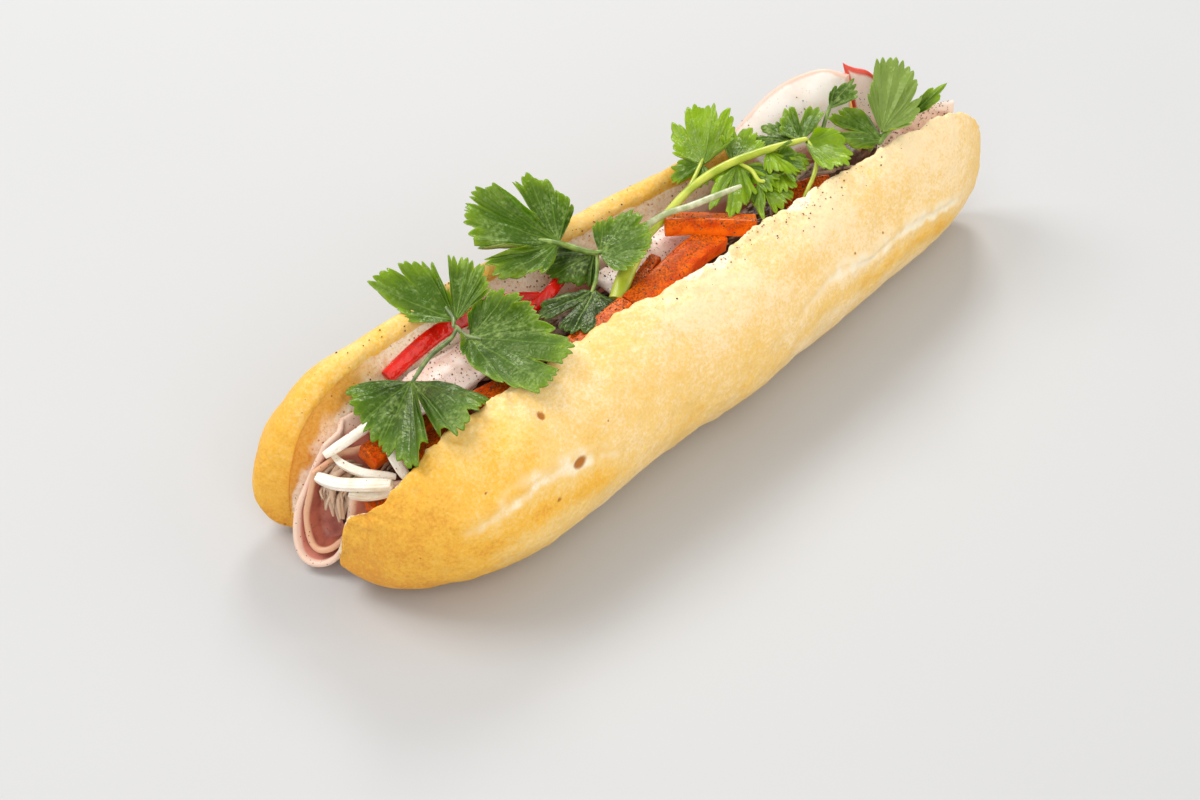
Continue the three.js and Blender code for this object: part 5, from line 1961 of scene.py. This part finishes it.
# ---------------------------------------------------------------- stage
@dataclass
class Studio:
    """A pale floor, four large soft lights, an even room light and the camera."""

    target: Point = (-32.15, 0.29, 13.0)
    toward_camera: Point = (-0.5496, -0.5213, 0.6529)
    distance_mm: float = 1192.84
    lens_mm: float = 110.67
    sensor_mm: float = 36
    floor_side: float = 6  # in metres
    floor: PlainFinish = PlainFinish(
        "pale_floor", "bread", 0.6, low="#BDBDBD", high="#BFBFBF", grain_mm=400
    )
    room: str = "#FBFAF8"
    room_strength: float = 0.65

    def build(self) -> None:
        """Places the stage, and looks from the front left, over the tall half.

        The key is high behind the roll and the back light beside it, so that rims and leaves shine.
        The fill and the side light keep the near crust open.
        """
        bpy.ops.mesh.primitive_plane_add(size=self.floor_side, location=(0, 0, 0))
        floor = bpy.context.object
        floor.name = "floor"
        floor.data.materials.append(self.floor.build())
        centre = Vector(np.array(self.target) - FOOT_MIDDLE) * MM
        self.light("key", centre, (-0.3, 0.62, 0.9), 1.5, 0.8, 12)
        self.light("back", centre, (0.6, 0.5, 0.62), 1.6, 0.45, 9)
        self.light("fill", centre, (-0.66, -0.8, 0.7), 1.8, 1.6, 14)
        self.light("side", centre, (0.8, -0.7, 0.5), 1.8, 1.4, 7)
        world = bpy.data.worlds.new("soft_room")
        world.use_nodes = True
        bpy.context.scene.world = world
        background = world.node_tree.nodes["Background"]
        background.inputs["Color"].default_value = colour(self.room)
        background.inputs["Strength"].default_value = self.room_strength
        bpy.context.scene.view_settings.view_transform = "Standard"
        camera = bpy.data.objects.new("camera", bpy.data.cameras.new("camera"))
        bpy.context.scene.collection.objects.link(camera)
        back = Vector(self.toward_camera).normalized()
        camera.location = centre + back * self.distance_mm * MM
        camera.rotation_euler = back.to_track_quat("Z", "Y").to_euler()
        camera.data.lens = self.lens_mm
        camera.data.sensor_width = self.sensor_mm
        bpy.context.scene.camera = camera

    def light(
        self, name: str, centre: Vector, toward: Point, distance: float, size: float, watts: float
    ) -> None:
        """Places a square soft light that faces the centre.

        Args:
            name: the light's name.
            centre: what it faces.
            toward: direction from the centre to the light.
            distance: how far off it is, in metres.
            size: its side, in metres.
            watts: its strength.
        """
        lamp = bpy.data.lights.new(name, "AREA")
        lamp.size = size
        lamp.energy = watts
        made = bpy.data.objects.new(name, lamp)
        bpy.context.scene.collection.objects.link(made)
        away = Vector(toward).normalized()
        made.location = centre + away * distance
        made.rotation_euler = away.to_track_quat("Z", "Y").to_euler()


def main() -> None:
    """Builds the roll, its filling and the stage."""
    logging.basicConfig(level=logging.INFO, format="%(name)s: %(message)s")
    roll = Roll()
    bread = roll.build()
    Filling(roll).build(bread)
    Studio().build()


if __name__ == "__main__":
    main()
